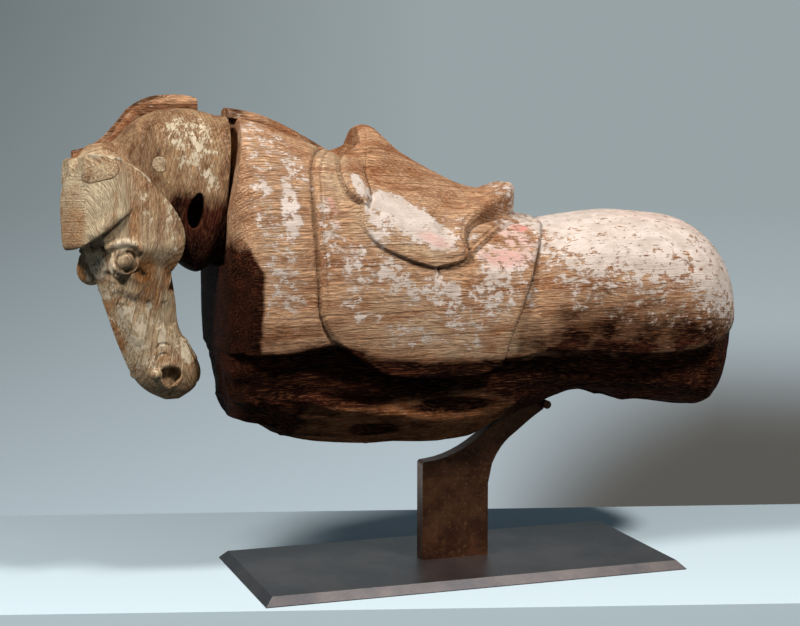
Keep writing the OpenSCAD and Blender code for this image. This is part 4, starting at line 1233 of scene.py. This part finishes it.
def bevelled(node, width):
    """A steel CAD node with its edges broken."""
    obj = node_copy(node)
    obj.name = "mount_" + node
    mod = obj.modifiers.new("bevel", "BEVEL")
    mod.width, mod.segments, mod.limit_method = width / 1000, 3, "ANGLE"
    mod.angle_limit = math.radians(28)
    evaluated(obj)
    return obj


def laid_felt():
    """The felt strip, cut with soft edges and pressed a little unevenly by the log."""
    obj = node_copy("cradle_pad")
    obj.name = "felt_strip"
    plain = vertices_of(obj)
    c = carving(obj, 0.35, 4)
    c.push(0.12 * noise(c.v, (5, 5, 5), 4, 2) - 0.1)
    c.v = np.clip(c.v, plain.min(0), plain.max(0))
    c.refresh()
    smooth_shaded(obj)
    return obj


# ------------------------------------------------------------------- stage

CAMERA_AT = Vector((-0.7085, -1.9029, 0.5307))
HEADING, PITCH = math.radians(18.74), math.radians(6.416)
LAMP_AWAY, LAMP_AIM = 2.6, Vector((0, 0, 0.3))


def on_floor(ahead, right):
    """A point of the floor in millimetres, ahead and to the right of the camera in metres."""
    s, c = math.sin(HEADING), math.cos(HEADING)
    x, y = CAMERA_AT.x + ahead * s + right * c, CAMERA_AT.y + ahead * c - right * s
    return x * 1000, y * 1000


def shelf(seen_colour, lit_colour):
    """A painted shelf under the mount, pale and quite matt."""
    corners = [on_floor(*at_metres) for at_metres in (
        (1.72, -2.2), (1.95, 2.2), (2.46, 2.2), (2.17, -2.2))]
    outline = [(x, y, 0) for x, y in corners] + [(x, y, -60) for x, y in corners]
    faces = np.array([(0, 1, 2, 3), (7, 6, 5, 4), (0, 4, 5, 1), (1, 5, 6, 2), (2, 6, 7, 3),
                      (3, 7, 4, 0)])
    obj = object_from(outline, faces, "floor")
    obj.data.shade_flat()
    made, tree, sockets = material("emulsion_painted_board", {"Roughness": 0.95})
    seen = put(tree, "LightPath")
    tree.links.new(put(tree, "Mix", {0: seen, 6: (*lit_colour, 1), 7: (*seen_colour, 1)},
                       data_type="RGBA", out=2), sockets["Base Color"])
    obj.data.materials.append(made)


def area_lamp(name, way, energy, size, colour):
    """A square lamp that faces the horse from the given side."""
    lamp = bpy.data.lights.new(name, "AREA")
    lamp.energy, lamp.size, lamp.color = energy, size, colour
    obj = bpy.data.objects.new(name, lamp)
    bpy.context.collection.objects.link(obj)
    way = Vector(way).normalized()
    obj.location = way * LAMP_AWAY + LAMP_AIM
    obj.rotation_euler = (-way).to_track_quat("-Z", "Y").to_euler()


def studio_air(colours, strength):
    """A dim cool light from all round, and a grey-blue backdrop where the camera looks past,
    lighter just above the shelf, with painted shade at its upper left and a painted shadow of the
    horse at its lower right.
    """
    world = bpy.data.worlds.new("studio_air")
    bpy.context.scene.world = world
    world.use_nodes = True
    tree = world.node_tree
    way = put(tree, "TexCoord")
    s, c = math.sin(HEADING), math.cos(HEADING)
    right, ahead = (put(tree, "VectorMath", (way, axis), operation="DOT_PRODUCT", out=1)
                    for axis in ((c, -s, 0), (s, c, 0)))
    up = put(tree, "SeparateXYZ", (way,), out=2)
    # Painted shade: the backdrop darker towards its upper left.
    upper_left = put(tree, "Math", (put(tree, "MapRange", (right, 0.02, -0.3)),
                                    put(tree, "MapRange", (up, -0.3, 0.06))),
                     operation="MULTIPLY")
    # Painted shadow of the horse on the backdrop at its lower right.
    corner = put(tree, "Math", (put(tree, "MapRange", (right, 0.0, 0.18)),
                                put(tree, "MapRange", (up, -0.1, -0.25))), operation="MULTIPLY")
    corner = put(tree, "MapRange", (corner, 0, 0.6), interpolation_type="SMOOTHERSTEP")
    wall = (*colours.wall, 1)
    for amount, over in ((put(tree, "MapRange", (up, -0.05, -0.24)), colours.wall_low),
                         (upper_left, colours.wall_left), (corner, colours.wall_shade)):
        wall = put(tree, "Mix", {0: amount, 6: wall, 7: (*over, 1)}, data_type="RGBA", out=2)
    seen, mirrored = put(tree, "LightPath"), put(tree, "LightPath", out=3)
    for value in (put(tree, "MapRange", (ahead, 0.1, 0.5)),
                  put(tree, "MapRange", (right, -0.4, 0.25, 2.4, 0.3))):
        mirrored = put(tree, "Math", (mirrored, value), operation="MULTIPLY")
    shown = put(tree, "Math", (seen, mirrored), operation="MAXIMUM")
    back = tree.nodes["Background"].inputs
    tree.links.new(put(tree, "Mix", {0: shown, 6: (*colours.air, 1), 7: wall},
                       data_type="RGBA", out=2), back["Color"])
    tree.links.new(put(tree, "MapRange", (shown, 0, 1, strength, 1), clamp=False), back["Strength"])


# ---------------------------------------------------------------- settings

def swatch(name, about, text):
    """A colour setting whose default is given as an sRGB hex colour."""
    return bpy.props.FloatVectorProperty(name=name, description=about, subtype="COLOR", size=3,
                                         min=0, max=1, default=hex_colour(text)[:3])


def length(name, about, metres, most):
    return bpy.props.FloatProperty(name=name, description=about, default=metres, min=0, max=most,
                                   precision=4, subtype="DISTANCE", unit="LENGTH")


class CarvedHorseSizes(bpy.types.PropertyGroup):
    furrow: length("Furrows", "Depth of the furrows that weather has cut between the log's "
                   "growth rings", 0.0003, 0.002)
    log_mesh: length("Log mesh", "Spacing of the carved log's mesh", 0.0013, 0.01)
    head_mesh: length("Head mesh", "Spacing of the carved head's mesh", 0.001, 0.01)
    strip_mesh: length("Strip mesh", "Spacing of the tenon's and strips' mesh", 0.0007, 0.01)
    peg_mesh: length("Peg mesh", "Spacing of the plug's and ear tenons' mesh", 0.0006, 0.01)
    steel_edge: length("Steel edge", "Width of the broken edge on the mount's steel", 0.0006,
                       0.002)
    lamp: bpy.props.FloatProperty(
        name="Lamps", description="Power of each of the two lamps", default=58, min=0, max=500,
        unit="POWER")
    air: bpy.props.FloatProperty(
        name="Air", description="Strength of the light from all round", default=0.17, min=0, max=2)


class CarvedHorseLogColours(bpy.types.PropertyGroup):
    chalk: swatch("Chalk", "Thick chalk paint", "E2D6CF")
    grey: swatch("Grey chalk", "Chalk paint gone grey", "C2B5AB")
    pink: swatch("Pink", "Traces of pink in the chalk paint", "D68C82")
    edge: swatch("Worn edge", "Thin worn paint round the thick flakes", "BBA28E")
    # The stain colour also paints the shade on the breast and behind the cloth.
    stain: swatch("Stain", "Dark stain on the lower flanks and breast", "4C2418")
    # The soot colour also paints the shade in hollows and the shadow on the breast.
    soot_and_shade: swatch("Soot", "Dirt in the furrows and hollows", "1A0905")
    tan: swatch("Light wood", "Lighter streaks of the bare wood", "D6A67F")
    brown: swatch("Brown wood", "Browner streaks of the bare wood", "A66C46")
    pale: swatch("Bleached wood", "Wood bleached by weather", "DDBD9B")
    # On the log this orange-brown also paints the light on the belly.
    rust: swatch("Rusty wood", "Orange-brown patches", "A8663A")
    furrow: swatch("Furrow", "Bottoms of the furrows", "50301F")


class CarvedHorseHeadColours(bpy.types.PropertyGroup):
    chalk: swatch("Chalk", "Thick chalk paint", "DDD0B9")
    grey: swatch("Grey chalk", "Chalk paint gone grey", "C3B59C")
    pink: swatch("Pink", "Traces of pink in the chalk paint", "D68C82")
    edge: swatch("Worn edge", "Thin worn paint round the thick flakes", "B9A484")
    # The stain colour also paints the shade on the lower neck under the cheek.
    stain: swatch("Stain", "Dark stain on the lower neck", "4C2418")
    # The soot colour also paints the shade in the grooves round the eyes.
    soot_and_shade: swatch("Soot", "Dirt in the furrows and hollows", "1A0905")
    tan: swatch("Light wood", "Lighter streaks of the bare wood", "B8916B")
    brown: swatch("Brown wood", "Browner streaks of the bare wood", "8C6244")
    pale: swatch("Bleached wood", "Wood bleached by weather", "E2D0AE")
    rust: swatch("Rusty wood", "Orange-brown patches on the face", "B4763F")
    furrow: swatch("Furrow", "Bottoms of the furrows", "553825")


class CarvedHorseMountColours(bpy.types.PropertyGroup):
    post_dark: swatch("Post, dark", "Darker patina of the post", "523326")
    post_light: swatch("Post, light", "Lighter patina of the post", "7C5239")
    post_speck: swatch("Post, specks", "Golden specks on the post", "B08A58")
    plate_dark: swatch("Plate, dark", "Darker patina of the plate", "4E4D51")
    plate_light: swatch("Plate, light", "Lighter patina of the plate", "645F5F")
    plate_speck: swatch("Plate, specks", "Specks on the plate", "847468")
    steel: swatch("Fasteners", "Bright steel of the pins and screws", "A9A6A0")
    felt_dark: swatch("Felt, dark", "Darker hair of the felt", "1E1B19")
    felt_light: swatch("Felt, light", "Lighter hair of the felt", "4A443F")


class CarvedHorseStageColours(bpy.types.PropertyGroup):
    shelf: swatch("Shelf", "The shelf as it is seen", "CDE2EE")
    shelf_light: swatch("Shelf's light", "The shelf as it lights the horse", "8E9AA0")
    wall: swatch("Wall", "Backdrop", "98A3A6")
    wall_low: swatch("Wall, low", "Backdrop just above the shelf", "BAC8D0")
    wall_left: swatch("Wall, left", "Backdrop's upper left", "5E676A")
    wall_shade: swatch("Wall, shade", "Shade at the backdrop's lower right", "5A5854")
    air: swatch("Air", "Light from all round", "9FB0BC")
    lamps: swatch("Lamps", "Light of the two lamps", "FFF8F0")


# --------------------------------------------------------------- operators

class CARVEDHORSE_OT_log(bpy.types.Operator):
    """Carve the hollowed log with its saddle cloth, pad, saddle and breast"""
    bl_idname = "carved_horse.log"
    bl_label = "Carve the log"

    def execute(self, context):
        sizes = context.scene.carved_horse_sizes
        log = build_torso(sizes.log_mesh * 1000, sizes.furrow * 1000)
        wood = aged_wood("old_riven_poplar_log", context.scene.carved_horse_log)
        dress(log, wood, "torso_log")
        return {"FINISHED"}


class CARVEDHORSE_OT_head(bpy.types.Operator):
    """Carve the head and neck, and pare its plug and ear tenons flush with it"""
    bl_idname = "carved_horse.head"
    bl_label = "Carve the head"

    def execute(self, context):
        sizes = context.scene.carved_horse_sizes
        head = build_head(sizes.head_mesh * 1000, sizes.peg_mesh * 1000)
        wood = aged_wood("old_riven_poplar_head", context.scene.carved_horse_head)
        dress(head, wood, "head_neck")
        for node, slot in (("neck_plug", "plug_wood"), ("ear_tenon_left", "strip_wood"),
                           ("ear_tenon_right", "strip_wood")):
            dress(bpy.data.objects[node + "_cut"], wood, node)
        return {"FINISHED"}


class CARVEDHORSE_OT_strips(bpy.types.Operator):
    """Hew the neck's tenon, the mane's crest and the strip let into the withers"""
    bl_idname = "carved_horse.strips"
    bl_label = "Hew the tenon and strips"

    def execute(self, context):
        size = context.scene.carved_horse_sizes.strip_mesh * 1000
        wood = aged_wood("old_riven_poplar_strips", context.scene.carved_horse_log)
        for node, slot, shape in (("neck_tenon", "tenon_wood", None),
                                  ("mane_crest", "strip_wood", lower_near_ridge),
                                  ("withers_strip", "strip_wood", None)):
            dress(build_copy(node, size, node + "_carving", shape), wood, node)
        return {"FINISHED"}


class CARVEDHORSE_OT_mount(bpy.types.Operator):
    """Make the steel plate, post and crossbar, and finish the pins and screws"""
    bl_idname = "carved_horse.mount"
    bl_label = "Make the mount"

    def execute(self, context):
        colours = context.scene.carved_horse_mount
        edge = context.scene.carved_horse_sizes.steel_edge * 1000
        post = patinated_steel("cold_patinated_steel_post", colours.post_dark,
                               colours.post_light, colours.post_speck, 0.5, 0.03)
        plate = patinated_steel("cold_patinated_steel_plate", colours.plate_dark,
                                colours.plate_light, colours.plate_speck, 0.3, 0.09)
        for node, made, slot in (("base_plate", plate, "plate_steel"),
                                 ("post_arm", post, "mount_steel"),
                                 ("cradle_crossbar", post, "mount_steel")):
            dress(bevelled(node, edge), made, node)
        steel = turned_steel("turned_bright_steel", colours.steel)
        for node in ("support_pins", "base_screws"):
            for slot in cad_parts[node].material_slots:
                slot.material = steel
        return {"FINISHED"}


class CARVEDHORSE_OT_felt(bpy.types.Operator):
    """Lay the strip of felt between the mount's arm and the log"""
    bl_idname = "carved_horse.felt"
    bl_label = "Lay the felt"

    def execute(self, context):
        colours = context.scene.carved_horse_mount
        felt = laid_felt()
        made = wool_felt("pressed_wool_felt", colours.felt_dark, colours.felt_light)
        dress(felt, made, "cradle_pad")
        return {"FINISHED"}


class CARVEDHORSE_OT_stage(bpy.types.Operator):
    """Set the shelf, the backdrop, two lamps and the camera"""
    bl_idname = "carved_horse.stage"
    bl_label = "Set the stage"

    def execute(self, context):
        scene = context.scene
        sizes, colours = scene.carved_horse_sizes, scene.carved_horse_stage
        lens = bpy.data.cameras.new("camera")
        camera = bpy.data.objects.new("camera", lens)
        context.collection.objects.link(camera)
        camera.location = CAMERA_AT
        camera.rotation_euler = (math.pi / 2 - PITCH, 0, -HEADING)
        lens.lens, lens.sensor_width = 77.85, 36
        scene.camera = camera
        area_lamp("left_lamp", (-0.66, -0.34, 0.67), sizes.lamp, 0.5, colours.lamps)
        area_lamp("right_lamp", (0.27, -0.6, 0.76), sizes.lamp, 0.4, colours.lamps)
        studio_air(colours, sizes.air)
        shelf(colours.shelf, colours.shelf_light)
        scene.view_settings.view_transform = "Standard"
        return {"FINISHED"}


GROUPS = {"carved_horse_sizes": CarvedHorseSizes, "carved_horse_log": CarvedHorseLogColours,
          "carved_horse_head": CarvedHorseHeadColours,
          "carved_horse_mount": CarvedHorseMountColours,
          "carved_horse_stage": CarvedHorseStageColours}
STEPS = (CARVEDHORSE_OT_log, CARVEDHORSE_OT_head, CARVEDHORSE_OT_strips, CARVEDHORSE_OT_mount,
         CARVEDHORSE_OT_felt, CARVEDHORSE_OT_stage)


class VIEW3D_PT_carved_horse(bpy.types.Panel):
    """Settings and steps of the carved wooden horse"""
    bl_label = "Carved Horse"
    bl_idname = "VIEW3D_PT_carved_horse"
    bl_space_type = "VIEW_3D"
    bl_region_type = "UI"
    bl_category = "Carved Horse"

    def draw(self, context):
        for name, group in GROUPS.items():
            box = self.layout.box()
            box.label(text=name.replace("carved_horse_", "").capitalize())
            for setting in group.__annotations__:
                box.prop(getattr(context.scene, name), setting)
        for step in STEPS:
            self.layout.operator(step.bl_idname)


def register():
    for made in (*GROUPS.values(), *STEPS, VIEW3D_PT_carved_horse):
        bpy.utils.register_class(made)
    for name, group in GROUPS.items():
        setattr(bpy.types.Scene, name, bpy.props.PointerProperty(type=group))


def unregister():
    for name in GROUPS:
        delattr(bpy.types.Scene, name)
    for made in (VIEW3D_PT_carved_horse, *reversed(STEPS), *reversed(GROUPS.values())):
        bpy.utils.unregister_class(made)


def main():
    register()
    bpy.ops.carved_horse.log()
    bpy.ops.carved_horse.head()
    bpy.ops.carved_horse.strips()
    bpy.ops.carved_horse.mount()
    bpy.ops.carved_horse.felt()
    bpy.ops.carved_horse.stage()


if __name__ == "__main__":
    main()
